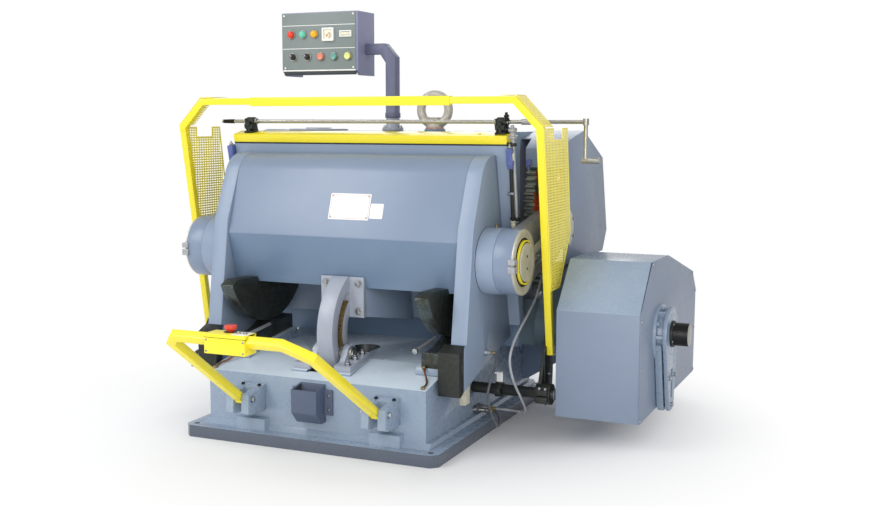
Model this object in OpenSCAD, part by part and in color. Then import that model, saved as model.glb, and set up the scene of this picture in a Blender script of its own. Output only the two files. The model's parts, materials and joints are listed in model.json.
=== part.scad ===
/* [Overall] */
// Length of the base casting, front to back
base_len = 1300; // [1280:5:1340]
// Lean of the platen from upright, as it stands at rest
lean = 13; // [11:0.5:15]
// Running clearance between parts that slide or roll
run_gap = 0.5; // [0.3:0.1:0.8]

/* [Base casting] */
// Half width of the base flange
flange_half = 565; // [545:5:585]
// Height of the flange at its edge
flange_h = 48; // [40:1:56]
// Half width of the base walls
base_half = 488; // [476:1:494]
// Distance from the flange edge to the front wall
base_setback = 78; // [70:1:90]
// Height of the deck at the front wall
deck_front_z = 270; // [262:1:276]
// Height of the deck under the bed
deck_z = 318; // [310:1:324]
// Half width of the well that the guide arm dips into
well_half = 62; // [56:1:70]
// Radius of the anchor bolt holes
anchor_r = 11; // [8:0.5:14]
// Inset of the anchor bolts from the flange edges
anchor_inset = 38; // [32:1:44]

/* [Bed] */
// Half width of the bed
bed_half = 600; // [592:1:606]
// Height of the bed top above the floor
bed_top = 1237; // [1220:1:1250]
// Depth of the bed, front to back
bed_depth = 285; // [270:1:300]
// Thickness of the bed's face plate
bed_face = 62; // [50:1:72]
// Thickness of the chase that holds the dies
chase_t = 26; // [20:1:30]

/* [Platen] */
// Half width of the platen plate
plate_half = 642; // [636:1:646]
// Thickness of the platen plate
plate_t = 70; // [60:1:76]
// Height of the platen plate, along its face
plate_h = 781; // [760:1:785]
// Outer half width of the cheeks
cheek_half = 594; // [590:1:598]
// Thickness of each cheek
cheek_t = 66; // [58:1:72]
// Wall of the platen housing
shell_t = 24; // [18:1:28]
// Height of the yellow trim strip
trim_h = 34; // [28:1:38]

/* [Rocker] */
// Radius of the rocker sectors
rocker_r = 310; // [300:1:316]
// Width of each rocker sector
rocker_w = 60; // [52:1:64]
// Distance of the sectors from the middle
rocker_x = 440; // [432:1:446]
// Height of the rolling line above the floor
roll_z = 425; // [420:1:430]
// How far the platen opens from rest, degrees
open_angle = 30; // [26:1:31]

/* [Guide arm] */
// Radius of the slot's arc about the rolling line
slot_r = 187; // [182:1:192]
// Width of the guide arm
arm_w = 70; // [62:1:76]
// Diameter of the guide pin
guide_pin_d = 40; // [34:1:44]
// Angle of the guide pin round the rolling line
pin_angle = 205; // [203:0.5:207]

/* [Drive] */
// Gear module
gear_m = 9.5; // [9.3:0.1:9.6]
// Teeth on each crank gear
gear_teeth = 56; // [56:1:56]
// Teeth on each pinion
pinion_teeth = 14; // [14:1:14]
// Face width of the crank gears
gear_w = 40; // [34:1:42]
// Throw of the crank
crank_throw = 110; // [106:1:114]
// Radius of the crankshaft
crankshaft_r = 55; // [48:1:58]
// Radius of the pinion shaft
pinion_shaft_r = 38; // [32:1:42]
// Thickness of the connecting rod's hub
hub_w = 76; // [70:1:80]
// Radius of the connecting rod's hub
hub_r = 131; // [124:1:134]
// Radius of the trunnion pins
trunnion_r = 66; // [58:1:70]
// Radius of the flywheel
flywheel_r = 285; // [270:1:290]
// Radius of the flywheel shaft
drive_shaft_r = 47; // [42:1:50]
// Radius of the motor pulley
motor_pulley_r = 75; // [65:1:85]

/* [Guards] */
// Half distance between the arch's side bars
arch_half = 822; // [818:1:830]
// Thickness of the arch bars
arch_bar = 28; // [22:1:32]
// Thickness of sheet guards
sheet_t = 6; // [4:0.5:8]
// Outer face of the right gear guard
guard_out_x = 820; // [812:1:824]
// Width of the flywheel cover
cover_w = 330; // [320:1:340]

/* [Safety bar] */
// Distance between the safety bar's legs
bail_w = 600; // [580:1:620]
// Offset of the safety bar to the right
bail_x = 30; // [20:1:40]
// Width of the safety bar's section
bail_bar = 32; // [26:1:36]

/* [Control panel] */
// Height of the panel box
panel_h = 278; // [260:1:290]
// Width of the panel box
panel_w = 383; // [370:1:400]
// Depth of the panel box
panel_d = 160; // [140:1:175]
// Side of the square mast tube
mast_tube = 47; // [40:1:52]
// Diameter of the panel lamps and buttons
lamp_d = 30; // [26:1:34]

/* [Hidden] */
$fn = 96;

// seats and fits
seat = 0.3;
joint_gap = 0.02;
front_y = -base_len/2;
wall_y = front_y + base_setback;
base_back_y = -front_y - 30;
bore_gap = 0.08;

// rolling line, trunnion and the platen's own frame
roll_y = -225;
trunnion_z = roll_z + rocker_r;
face_u = 268;
plate_bottom_v = -57;
plate_top_v = plate_bottom_v + plate_h;
back_u = face_u + plate_t;
bed_y = roll_y + back_u + 6 + chase_t;
bed_back_y = bed_y + bed_depth;

// drive axes
crank_y = 319;
crank_z = 945;
gear_r = gear_m*gear_teeth/2;
pinion_r = gear_m*pinion_teeth/2;
axis_dist = gear_r + pinion_r + 0.6;
pinion_dir = 255.2;
pinion_y = crank_y + axis_dist*cos(pinion_dir);
pinion_z = crank_z + axis_dist*sin(pinion_dir);
drive_y = 140;
drive_z = 427;
gear_x = bed_half + 54;
rod_x = plate_half + 29;
crank_rest = -47.2;
pin_y = crank_y + crank_throw*cos(crank_rest);
pin_z = crank_z + crank_throw*sin(crank_rest);
shank_x = gear_x + gear_w + 6;
shank_w = 40;
motor_y = 655;
motor_z = 405;

// guards
arch_y = -150;
arch_z = 200;
cover_x = guard_out_x + 50;
guard_in_x = plate_half + 8;

// control panel
mast_x = -6;
mast_y = bed_y + 24;
arm_z = 1597;
panel_x = -513;
panel_y = mast_y - panel_d/2 - 12;
panel_z = 1482;

module both_sides() {
    children();
    mirror([1, 0, 0]) children();
}

// a side outline, in Y and Z, drawn out from x0 to x1
module across(x0, x1) {
    translate([x0, 0, 0]) rotate([90, 0, 90]) linear_extrude(x1 - x0) children();
}

module pin_x(y, z, r, x0, x1) {
    translate([x0, y, z]) rotate([0, 90, 0]) cylinder(r = r, h = x1 - x0);
}

module pin_ypos(x, z, r, y0, y1) {
    translate([x, y0, z]) rotate([-90, 0, 0]) cylinder(r = r, h = y1 - y0);
}

// corners of a square bar's end at point i of its route, mitred at each bend
function bar_ring(p, i, b) =
    let (d = unit(p[max(i, 1)] - p[max(i, 1) - 1]))
    i == 0
    ? let (s = [1, 0, 0], u = cross(s, d))
      [for (k = [[-1, -1], [1, -1], [1, 1], [-1, 1]]) p[0] + b/2*(k[0]*s + k[1]*u)]
    : let (n = i < len(p) - 1 ? unit(d + unit(p[i + 1] - p[i])) : d)
      [for (q = bar_ring(p, i - 1, b)) q + d*(((p[i] - q)*n)/(d*n))];

// square bar of side b bent along a route that starts across X
module bent_bar(p, b) {
    n = len(p);
    polyhedron(
        [for (i = [0:n - 1]) each bar_ring(p, i, b)],
        [
            [3, 2, 1, 0],
            for (i = [0:n - 2], k = [0:3]) let (m = (k + 1) % 4)
                [4*i + k, 4*i + m, 4*i + 4 + m, 4*i + 4 + k],
            [4*n - 4, 4*n - 3, 4*n - 2, 4*n - 1]
        ]
    );
}

module box(a, b) {
    translate(a) cube(b - a);
}

// the platen's own frame: face upright, origin on the rolling line
module platen_frame() {
    translate([0, roll_y, roll_z]) rotate([lean, 0, 0]) children();
}

// where a point of the platen's own frame lies at rest, in Y and Z
function at_rest(u, v) = [
    roll_y + u*cos(lean) - v*sin(lean),
    roll_z + u*sin(lean) + v*cos(lean)
];

// where two lines cross, each given by a point and a direction
function cross2(a, b) = a[0]*b[1] - a[1]*b[0];
function meet(p, d, q, e) = p + d*(cross2(q - p, e)/cross2(d, e));
function unit(v) = v/norm(v);
function left_of(v) = [-v[1], v[0]];

// an outline given anticlockwise, moved in by t on every side
function inset(pts, t) = [
    for (i = [0:len(pts) - 1])
        let (
            a = pts[(i + len(pts) - 1) % len(pts)],
            b = pts[i],
            c = pts[(i + 1) % len(pts)],
            d = unit(b - a),
            e = unit(c - b)
        )
        meet(b + left_of(d)*t, d, b + left_of(e)*t, e)
];

// points along an arc about c
function arc(c, r, a0, a1, n) = [
    for (i = [0:n]) let (a = a0 + (a1 - a0)*i/n) c + [r*cos(a), r*sin(a)]
];

// ---------------------------------------------------------------- base and bed

module base() {
    flange_back = -front_y;
    deck_break = -335;
    well_y0 = roll_y - 275;
    well_y1 = roll_y + 107;
    color([0.47, 0.55, 0.65]) difference() {
        union() {
            difference() {
                box([-flange_half, front_y, 0], [flange_half, flange_back, flange_h]);
                for (s = [-1, 1])
                    translate([s*flange_half, front_y, -1]) rotate([0, 0, 45])
                        translate([-18, -18, 0]) cube([36, 36, flange_h + 2]);
            }
            across(-base_half, base_half) polygon([
                [wall_y, flange_h], [base_back_y, flange_h], [base_back_y, deck_z],
                [deck_break, deck_z], [wall_y, deck_front_z]
            ]);
            // sloped foot of the walls
            across(-base_half - 22, base_half + 22) polygon([
                [wall_y - 22, flange_h], [base_back_y + 20, flange_h], [base_back_y, flange_h + 20],
                [wall_y, flange_h + 20]
            ]);
            // pads under the safety bar's blocks
            for (x = [bail_x - bail_w/2, bail_x + bail_w/2])
                box([x - 66, wall_y - 40, flange_h], [x + 66, wall_y, flange_h + 48]);
            // pedestals of the rocker rails
            both_sides() across(rocker_x - 58, base_half) polygon([
                [roll_y - 215, 300], [roll_y + 190, deck_z - 1], [roll_y + 175, roll_z - 60],
                [roll_y - 150, roll_z - 92], [roll_y - 205, roll_z - 100]
            ]);
            // raised pads under the guide bracket
            both_sides() across(well_half, well_half + 72) polygon([
                [pad_y0 - 12, deck_front_z - 4], [pad_y1 + 14, deck_front_z - 4],
                on_pad(pad_y1 + 14), on_pad(pad_y0 - 12)
            ]);
        }
        // well for the guide arm, with a rounded back end
        box([-well_half, well_y0, 120], [well_half, well_y1, roll_z]);
        translate([0, well_y1, 120]) cylinder(r = well_half, h = roll_z);
        // anchor bolt holes
        for (x = [-1, 1], y = [-1, 1])
            translate([x*(flange_half - anchor_inset), y*(-front_y - anchor_inset), -1])
                cylinder(r = anchor_r, h = flange_h + 2);
        // bore for the guard shaft
        pin_x(arch_y, arch_z, 22 + bore_gap, -base_half - 30, base_half + 30);
        for (s = [-1, 1]) box([s*380 - 60, wall_y + 90, 100], [s*380 + 60, arch_y + 60, arch_z + 50]);
    }
}

module bed() {
    rib = 40;
    side_t = 60;
    color([0.55, 0.63, 0.73]) difference() {
        union() {
            box([-bed_half, bed_y, deck_z], [bed_half, bed_y + bed_face, bed_top]);
            both_sides() box([bed_half - side_t, bed_y, deck_z], [bed_half, bed_back_y, bed_top]);
            box([-bed_half, bed_y, deck_z], [bed_half, bed_back_y, deck_z + 50]);
            box([-bed_half, bed_y, bed_top - 50], [bed_half, bed_back_y, bed_top]);
            for (s = [-1, 1])
                box([s*180 - rib/2, bed_y, deck_z], [s*180 + rib/2, bed_back_y - 25, bed_top]);
            // bearing bosses of the crankshaft and the pinion shaft
            both_sides() {
                pin_x(crank_y, crank_z, crankshaft_r + 42, bed_half - side_t - 20, gear_x - 6);
                pin_x(pinion_y, pinion_z, pinion_shaft_r + 34, bed_half - side_t - 20, gear_x - 6);
            }
        }
        pin_x(crank_y, crank_z, crankshaft_r + 14, -bed_half - 60, bed_half + 60);
        pin_x(pinion_y, pinion_z, pinion_shaft_r + bore_gap, -bed_half - 60, bed_half + 60);
    }
}

module crank_bushes() {
    color([0.72, 0.58, 0.3]) both_sides() difference() {
        pin_x(crank_y, crank_z, crankshaft_r + 14, bed_half - 80, gear_x - 4);
        pin_x(crank_y, crank_z, crankshaft_r + bore_gap, bed_half - 90, gear_x + 4);
    }
}

// a die chase: a frame with two bars, bolted on the bed's face
module chase() {
    frame = 42;
    x = plate_half - 92;
    z0 = roll_z + plate_bottom_v + 100;
    z1 = roll_z + plate_top_v - 40;
    color([0.5, 0.5, 0.5]) difference() {
        box([-x, bed_y - chase_t, z0], [x, bed_y, z1]);
        for (i = [0:2]) {
            w = (2*x - 4*frame)/3;
            box([-x + frame + i*(w + frame), bed_y - chase_t - 1, z0 + frame],
                [-x + (i + 1)*(w + frame), bed_y + 1, z1 - frame]);
        }
    }
}

// a roll line that each sector turns about, cleared at every lean
module rail_clearance() {
    for (a = [open_angle, open_angle/2, 0, -lean/2, -lean])
        translate([0, roll_y - rocker_r*sin(a), roll_z + rocker_r*cos(a)])
            rotate([0, 90, 0]) cylinder(r = rocker_r + seat, h = 2*base_half, center = true);
}

module rocker_rails() {
    color([0.2, 0.21, 0.2]) difference() {
        both_sides() across(rocker_x - rocker_w/2 - 6, rocker_x + rocker_w/2 + 6) polygon([
            [roll_y - 205, roll_z - 100], [roll_y - 150, roll_z - 92], [roll_y + 175, roll_z - 60],
            [roll_y + 175, roll_z], [roll_y - 205, roll_z]
        ]);
        rail_clearance();
    }
}

pin_c = [roll_y + slot_r*cos(pin_angle), roll_z + slot_r*sin(pin_angle)];

// sloped pad that the guide bracket's feet stand on
pad_slope = 9.6;
pad_y0 = pin_c[0] - 108;
pad_y1 = pin_c[0] + 62;
function on_pad(y, up = 0) = [y, deck_front_z + 22 + up + (y - pad_y0)*tan(pad_slope)];

module guide_bracket() {
    ear_x = arm_w/2 + 20;
    color([0.6, 0.63, 0.68]) both_sides() difference() {
        union() {
            // ear
            across(ear_x, ear_x + 24) difference() {
                union() {
                    translate(pin_c) circle(r = guide_pin_d/2 + 20);
                    polygon([
                        on_pad(pin_c[0] - 84), on_pad(pin_c[0] + 56), pin_c + [38, 12],
                        pin_c - [38, -12]
                    ]);
                }
                polygon([on_pad(pad_y0, -80), on_pad(pad_y1, -80), on_pad(pad_y1), on_pad(pad_y0)]);
            }
            // foot
            across(ear_x, ear_x + 74) polygon([
                on_pad(pad_y0), on_pad(pad_y1), on_pad(pad_y1, 24), on_pad(pad_y0, 24)
            ]);
        }
        pin_x(pin_c[0], pin_c[1], guide_pin_d/2 + bore_gap, ear_x - 5, ear_x + 40);
    }
}

module guide_pin() {
    ear_x = arm_w/2 + 20;
    color([0.68, 0.66, 0.6]) union() {
        pin_x(pin_c[0], pin_c[1], guide_pin_d/2, -ear_x - 30, ear_x + 30);
        both_sides() pin_x(pin_c[0], pin_c[1], guide_pin_d/2 + 14, arm_w/2 + 1, ear_x - 0.2);
    }
}

module front_pocket() {
    half = 56;
    t = 8;
    z0 = 105;
    zf = 241;
    zb = 257;
    color([0.5, 0.56, 0.66]) union() {
        difference() {
            across(-half, half) polygon([
                [front_y, zf], [front_y, z0 + 46], [front_y + 41, z0], [wall_y, z0], [wall_y, zb]
            ]);
            across(-half + t, half - t) polygon([
                [front_y + t, zf + 20], [front_y + t, z0 + 50], [front_y + 46, z0 + t],
                [wall_y - t, z0 + t], [wall_y - t, zb + 20]
            ]);
        }
        both_sides() box([half, wall_y - t, z0 + 30], [half + 34, wall_y, zb - 20]);
    }
}

bail_pin = [wall_y - 105, 192];

module bar_blocks() {
    color([0.5, 0.58, 0.68]) for (x = [bail_x - bail_w/2, bail_x + bail_w/2])
        translate([x, 0, 0]) difference() {
            union() {
                across(-52, 52) polygon([
                    [wall_y, 130], [wall_y, 236], [wall_y - 60, 222],
                    [bail_pin[0] - 24, bail_pin[1] + 22], [bail_pin[0] - 28, 138],
                    [bail_pin[0] - 6, 130]
                ]);
            }
            // slot for the leg
            box([-bail_bar/2 - 3, bail_pin[0] - 60, 100], [bail_bar/2 + 3, wall_y - 42, 260]);
            pin_x(bail_pin[0], bail_pin[1], 9 + bore_gap, -60, 60);
        }
}

// ---------------------------------------------------------------- guards

guard_profile = [
    [76, 690], [668, 690], [732, 782], [645, 1117], [347, 1242], [139, 1206], [76, 1172]
];

// a sheet guard over the crank gear, open below and at the front under the hood
module gear_guard(out_x) {
    inner = inset(guard_profile, sheet_t);
    union() {
        difference() {
            across(guard_in_x, out_x) polygon(guard_profile);
            across(guard_in_x - 1, out_x - sheet_t) polygon(inner);
            box([guard_in_x - 1, 0, 600], [out_x - sheet_t, 660, 697]);
            box([guard_in_x - 1, 0, 600], [out_x - sheet_t, 100, 1092]);
        }
        // seats on the bed's side
        difference() {
            across(bed_half, guard_in_x + 20) polygon(guard_profile);
            across(bed_half - 1, guard_in_x + 21) polygon(inner);
            box([bed_half - 1, -100, 600], [guard_in_x + 21, bed_y + 20, 1300]);
            box([bed_half - 1, bed_back_y - 20, 600], [guard_in_x + 21, 700, 1300]);
            box([bed_half - 1, -100, 600], [guard_in_x + 21, 700, 900]);
        }
    }
}

module gear_guard_right() {
    color([0.54, 0.6, 0.68]) gear_guard(guard_out_x);
}

module gear_guard_left() {
    color([0.54, 0.6, 0.68]) mirror([1, 0, 0]) gear_guard(guard_out_x - 50);
}

cover_profile = [
    [-170, 118], [870, 118], [885, 511], [804, 600], [298, 727], [5, 731], [-170, 545]
];

module flywheel_cover() {
    x1 = cover_x + cover_w;
    color([0.54, 0.6, 0.67]) difference() {
        union() {
            across(cover_x, x1) polygon(cover_profile);
            // a raised rim round the outer face
            across(x1, x1 + 8) difference() {
                polygon(cover_profile);
                polygon(inset(cover_profile, 18));
            }
        }
        across(cover_x + sheet_t, x1 - sheet_t) polygon(inset(cover_profile, sheet_t));
        pin_x(drive_y, drive_z, drive_shaft_r + 3, cover_x - 10, x1 + 20);
        pin_x(motor_y, motor_z, 40, cover_x - 10, cover_x + 20);
    }
}

module cover_bearing() {
    x0 = cover_x + cover_w;
    r = drive_shaft_r + bore_gap;
    color([0.5, 0.55, 0.62]) difference() {
        union() {
            pin_x(drive_y, drive_z, 118, x0, x0 + 20);
            pin_x(drive_y, drive_z, 84, x0, x0 + 62);
            for (a = [0:60:300])
                translate([x0, drive_y, drive_z]) rotate([a, 0, 0])
                    box([0, 76, -6], [46, 108, 6]);
            for (a = [30:60:330])
                translate([x0, drive_y, drive_z]) rotate([a, 0, 0]) translate([18, 100, 0])
                    rotate([0, 90, 0]) cylinder(r = 9, h = 12, $fn = 6);
        }
        pin_x(drive_y, drive_z, r, x0 - 5, x0 + 80);
    }
}

// slotted arm that hangs from the bearing, against the ends of its ribs
module brake_arm() {
    x0 = cover_x + cover_w + 46;
    color([0.3, 0.33, 0.38]) difference() {
        across(x0, x0 + 16) union() {
            polygon([
                [drive_y - 96, drive_z - 40], [drive_y - 30, 130], [drive_y - 8, 108],
                [drive_y + 36, 108], [drive_y + 60, 136], [drive_y + 100, drive_z - 34]
            ]);
            translate([drive_y, drive_z]) circle(r = 108);
        }
        pin_x(drive_y, drive_z, 84 + seat, x0 - 5, x0 + 30);
        across(x0 - 1, x0 + 17) polygon([
            [drive_y - 2, 160], [drive_y + 28, 160], [drive_y + 30, 280], [drive_y - 4, 280]
        ]);
    }
}

// ---------------------------------------------------------------- bed fittings

module eye_bolt() {
    x = 195;
    y = bed_y + 30;
    ring_z = bed_top + 94;
    color([0.78, 0.77, 0.74]) union() {
        translate([x, y, bed_top]) cylinder(r = 46, h = 12);
        translate([x, y, bed_top + 12]) cylinder(r = 38, h = 18);
        translate([x, y, ring_z]) rotate([90, 0, 0]) rotate_extrude()
            translate([65, 0]) circle(r = 19, $fn = 48);
    }
}

module top_cap() {
    color([0.4, 0.45, 0.52]) translate([-451, bed_y + 145, bed_top]) union() {
        cylinder(r = 138, h = 8);
        cylinder(r = 60, h = 14);
    }
}

module mast_socket() {
    color([0.42, 0.44, 0.5]) translate([mast_x, mast_y, bed_top]) difference() {
        union() {
            cylinder(r = 47, h = 16);
            cylinder(r = 30, h = 58);
        }
        translate([0, 0, 16]) cylinder(r = mast_tube/2 - 1 + bore_gap, h = 60);
    }
}

module gearbox() {
    x1 = cover_x;
    color([0.5, 0.57, 0.66]) difference() {
        union() {
            box([bed_half, bed_y + 10, deck_z + 10], [x1, bed_back_y - 70, pinion_z - pinion_r - 30]);
            across(gear_x + gear_w + 12, x1) union() {
                translate([pinion_y, pinion_z]) circle(r = pinion_shaft_r + 24);
                translate([drive_y, drive_z]) circle(r = drive_shaft_r + 48);
                polygon([
                    [pinion_y - 62, pinion_z], [pinion_y + 62, pinion_z],
                    [bed_back_y - 90, drive_z], [drive_y, drive_z - 95], [drive_y - 95, drive_z]
                ]);
            }
        }
        pin_x(pinion_y, pinion_z, pinion_shaft_r + bore_gap, bed_half + 10, x1 - 30);
        pin_x(drive_y, drive_z, drive_shaft_r + bore_gap, gear_x + gear_w + 40, x1 + 1);
    }
    color([0.7, 0.7, 0.68])
        pin_ypos(hose_a[0][0], hose_a[0][2], stub_r, hose_a[0][1] + joint_gap, pinion_y - 40);
}

module motor() {
    r = 105;
    x0 = 560;
    x1 = cover_x - 12;
    color([0.45, 0.52, 0.62]) union() {
        pin_x(motor_y, motor_z, r, x0 + 60, x1 - 26);
        pin_x(motor_y, motor_z, r - 14, x0, x0 + 60);
        pin_x(motor_y, motor_z, r + 5, x1 - 26, x1);
        for (i = [0:17]) if (i*20 < 200 || i*20 > 340)
            translate([x0 + 66, motor_y, motor_z]) rotate([i*20, 0, 0])
                box([0, r - 4, -3], [x1 - x0 - 96, r + 10, 3]);
        box([x0 + 80, motor_y - 90, motor_z - r - 7], [x1 - 60, motor_y + 90, motor_z - r + 30]);
        box([x0 + 110, motor_y - 60, motor_z + r - 20], [x0 + 210, motor_y + 60, motor_z + r + 44]);
        pin_x(motor_y, motor_z, 19, x1, cover_x + 150);
    }
}

module motor_bracket() {
    top = motor_z - 105 - 7;
    color([0.45, 0.52, 0.62]) union() {
        box([base_half, motor_y - 130, top - 18], [cover_x, motor_y + 120, top]);
        for (y = [motor_y - 128, motor_y - 50])
            translate([0, y, 0]) rotate([90, 0, 0]) translate([0, 0, -16])
                linear_extrude(16) polygon([
                    [base_half, top - 18], [base_half, 90], [base_half + 20, 90],
                    [cover_x - 60, top - 18]
                ]);
    }
}

module limit_switch() {
    color([0.9, 0.9, 0.88]) union() {
        box([base_half, arch_y - 92, arch_z - 60], [base_half + 26, arch_y - 44, arch_z + 30]);
        pin_ypos(base_half + 13, arch_z + 8, 7, arch_y - 44, arch_y - 30);
    }
}

module base_gland() {
    color([0.66, 0.66, 0.64]) for (p = [hose_a[len(hose_a) - 1], hose_b[len(hose_b) - 1]]) union() {
        pin_x(p[1], p[2], 16, base_half, base_half + 12);
        pin_x(p[1], p[2], 9, base_half + 12, p[0] - joint_gap);
    }
}

// ---------------------------------------------------------------- platen

module platen_plate() {
    color([0.6, 0.66, 0.74]) platen_frame() difference() {
        box([-plate_half, face_u, plate_bottom_v], [plate_half, back_u, plate_top_v]);
        // corner chamfers on the working face
        both_sides() translate([plate_half, back_u, 0]) rotate([0, 0, 45])
            translate([-9, -9, plate_bottom_v - 1]) cube([18, 18, plate_h + 2]);
    }
}

module trim_strip() {
    color([0.96, 0.9, 0.15]) platen_frame() union() {
        box([-plate_half, face_u, plate_top_v], [plate_half, back_u, plate_top_v + trim_h]);
        for (x = [-1, 1]) translate([x*(plate_half - 130), (face_u + back_u)/2, plate_top_v + trim_h])
            cylinder(r = 9, h = 4);
    }
}

// where the platen's parts meet the plate, as a line from the foot to the top
plate_foot = at_rest(face_u, plate_bottom_v);
plate_crown = at_rest(face_u, plate_top_v);
plate_dir = plate_crown - plate_foot;
function on_plate(z) = [
    plate_foot[0] - joint_gap + plate_dir[0]*(z - plate_foot[1])/plate_dir[1], z
];

front_low = [-360, 815];
front_high = [-289, 1056];
crown_c = [-150, 1010];
crown_r = 137;

module platen_housing() {
    half = cheek_half - cheek_t;
    outer = [
        on_plate(604), on_plate(crown_c[1] + crown_r),
        each arc(crown_c, crown_r, 90, 150, 8), front_low, [-304, 604]
    ];
    inner = inset(outer, shell_t);
    color([0.58, 0.65, 0.74]) difference() {
        across(-half, half) polygon(outer);
        // seat of the guide arm's flange
        box([-98, -400, 560], [98, roll_y - 100 + 26, roll_z + 225]);
        for (i = [0:3]) {
            w = (2*half - 5*shell_t)/4;
            across(-half + shell_t + i*(w + shell_t), -half + (i + 1)*(w + shell_t))
                polygon([
                    [inner[0][0], 560], on_plate(1060) - [shell_t, 0],
                    each arc(crown_c, crown_r - shell_t, 90, 150, 8),
                    front_low + [shell_t, 16], [-304 + shell_t, 604], [-304 + shell_t, 560]
                ]);
        }
    }
}

// stub that a hose starts from
hose_r = 5;
stub_r = 8;
stub_l = 24;

module platen_cheeks() {
    outline = [
        [-452, 248], [-220, 317], on_plate(378), on_plate(crown_c[1] + crown_r),
        each arc(crown_c, crown_r, 90, 150, 8), [-360, 868], [-425, 430], [-452, 420]
    ];
    color([0.6, 0.67, 0.76]) both_sides() difference() {
        union() {
            across(cheek_half - cheek_t, cheek_half) polygon(outline);
            // boss that carries the trunnion
            pin_x(roll_y, trunnion_z, hub_r + 1, cheek_half - cheek_t, rod_x - run_gap);
        }
        pin_x(roll_y, trunnion_z, trunnion_r, cheek_half - cheek_t - 1, rod_x + 1);
    }
    color([0.7, 0.7, 0.68])
        pin_x(hose_b[0][1], hose_b[0][2], stub_r, cheek_half - 1, hose_b[0][0] - joint_gap);
}

module foot_pads() {
    color([0.24, 0.26, 0.24]) both_sides() across(base_half + 17, cheek_half) polygon([
        [-500, 238], [-484, 235], [-452, 248], [-452, 422], [-440, 430], [-466, 420], [-500, 406]
    ]);
}

// rocker sectors: part of a wheel about the trunnion axis, bolted on the plate
module rocker_sectors() {
    color([0.17, 0.19, 0.17]) both_sides() across(rocker_x - rocker_w/2, rocker_x + rocker_w/2)
        intersection() {
            translate([roll_y, trunnion_z]) circle(r = rocker_r);
            polygon([
                on_plate(380), on_plate(602), [-306, 602], [-318, 626], [-465, 631],
                [-600, 574], [-600, 380]
            ]);
        }
}

module guide_arm() {
    in_r = slot_r - 62;
    out_r = slot_r + 66;
    half_w = guide_pin_d/2 + run_gap;
    c = [roll_y, roll_z];
    low_a = 229;
    slot_a = [130, 226];
    slot_end = [for (a = slot_a) c + slot_r*[cos(a), sin(a)]];
    flange_y = roll_y - 100;
    color([0.66, 0.69, 0.75]) union() {
        across(-arm_w/2, arm_w/2) difference() {
            union() {
                polygon([
                    [flange_y + 12, roll_z + 221], each arc(c, out_r, 116, low_a, 24),
                    each arc(c, in_r, low_a, 150, 16), [flange_y + 12, roll_z + 66]
                ]);
                translate(c + (slot_r + 2)*[cos(low_a), sin(low_a)])
                    circle(r = (out_r - in_r)/2 + 5);
            }
            polygon([
                each arc(c, slot_r + half_w, slot_a[0], slot_a[1], 24),
                each arc(slot_end[1], half_w, slot_a[1] + 15, slot_a[1] + 165, 10),
                each arc(c, slot_r - half_w, slot_a[1], slot_a[0], 24),
                each arc(slot_end[0], half_w, slot_a[0] + 195, slot_a[0] + 345, 10)
            ]);
        }
        box([-98, flange_y, roll_z + 59], [98, flange_y + 26, roll_z + 225]);
    }
}

module guide_block() {
    y0 = roll_y - 100 + 26;
    z1 = 603;
    z0 = 462;
    color([0.5, 0.57, 0.66]) difference() {
        across(-150, 150) polygon([
            [y0, roll_z + 59], on_plate(z0 - 40), on_plate(z1), [y0, z1]
        ]);
        both_sides() translate([98, y0, 300]) rotate([0, 0, -11]) cube([90, 400, 500]);
    }
}

module arm_bolts() {
    y = roll_y - 100;
    color([0.3, 0.31, 0.32]) for (x = [-76, 76], z = [roll_z + 84, roll_z + 200])
        translate([x, y, z]) rotate([90, 0, 0]) union() {
            cylinder(r = 15, h = 3);
            cylinder(r = 12, h = 14, $fn = 6);
        }
}

module trunnion_pins() {
    color([0.62, 0.61, 0.55]) both_sides() difference() {
        union() {
            pin_x(roll_y, trunnion_z, trunnion_r, cheek_half - cheek_t, rod_x + hub_w + run_gap);
            pin_x(roll_y, trunnion_z, trunnion_r + 11, rod_x + hub_w + run_gap, rod_x + hub_w + 16);
        }
        for (s = [-1, 1])
            pin_x(roll_y, trunnion_z + s*24, 5, rod_x + hub_w - 10, rod_x + hub_w + 20);
    }
}

rod_v = 803;
rod_u = 324;
top_rod_r = 8;

module rod_brackets() {
    v0 = plate_top_v + trim_h;
    color([0.55, 0.55, 0.52]) platen_frame() for (x = [-576, 606]) translate([x, 0, 0])
        difference() {
            union() {
                box([-22, rod_u - 34, v0], [22, back_u - 2, v0 + 8]);
                box([-16, rod_u - 12, v0], [16, rod_u + 12, rod_v + 4]);
                pin_x(rod_u, rod_v, 19, -16, 16);
                // wing screw
                translate([0, rod_u - 28, v0 + 8]) union() {
                    cylinder(r = 7, h = 20);
                    box([-20, -3, 12], [20, 3, 30]);
                }
            }
            pin_x(rod_u, rod_v, top_rod_r + bore_gap, -30, 30);
        }
}

module plate_switches() {
    color([0.2, 0.35, 0.6]) platen_frame() both_sides()
        union() {
            box([plate_half, face_u - 24, plate_top_v - 96], [plate_half + 26, face_u + 12, plate_top_v - 14]);
            pin_x(face_u - 6, plate_top_v - 34, 9, plate_half + 26, plate_half + 36);
        }
}

// ---------------------------------------------------------------- rod across the platen's top

module top_rod() {
    rod = [0, rod_u, rod_v];
    x1 = 955;
    drop = 150;
    color([0.55, 0.54, 0.46]) platen_frame() union() {
        pin_x(rod_u, rod_v, top_rod_r, -725, x1);
        for (x = [-576, 606]) for (s = [-1, 1])
            pin_x(rod_u, rod_v, top_rod_r + 6, x + s*24 - 6, x + s*24 + 6);
        translate([x1, rod_u, rod_v]) rotate([-lean, 0, 0]) union() {
            translate([0, 0, -13]) cylinder(r = 12, h = 26);
            translate([0, 0, -drop]) cylinder(r = top_rod_r, h = drop);
            translate([-14, 0, -drop]) rotate([0, 90, 0]) cylinder(r = 11, h = 72);
        }
    }
}

// ---------------------------------------------------------------- drive

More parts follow.
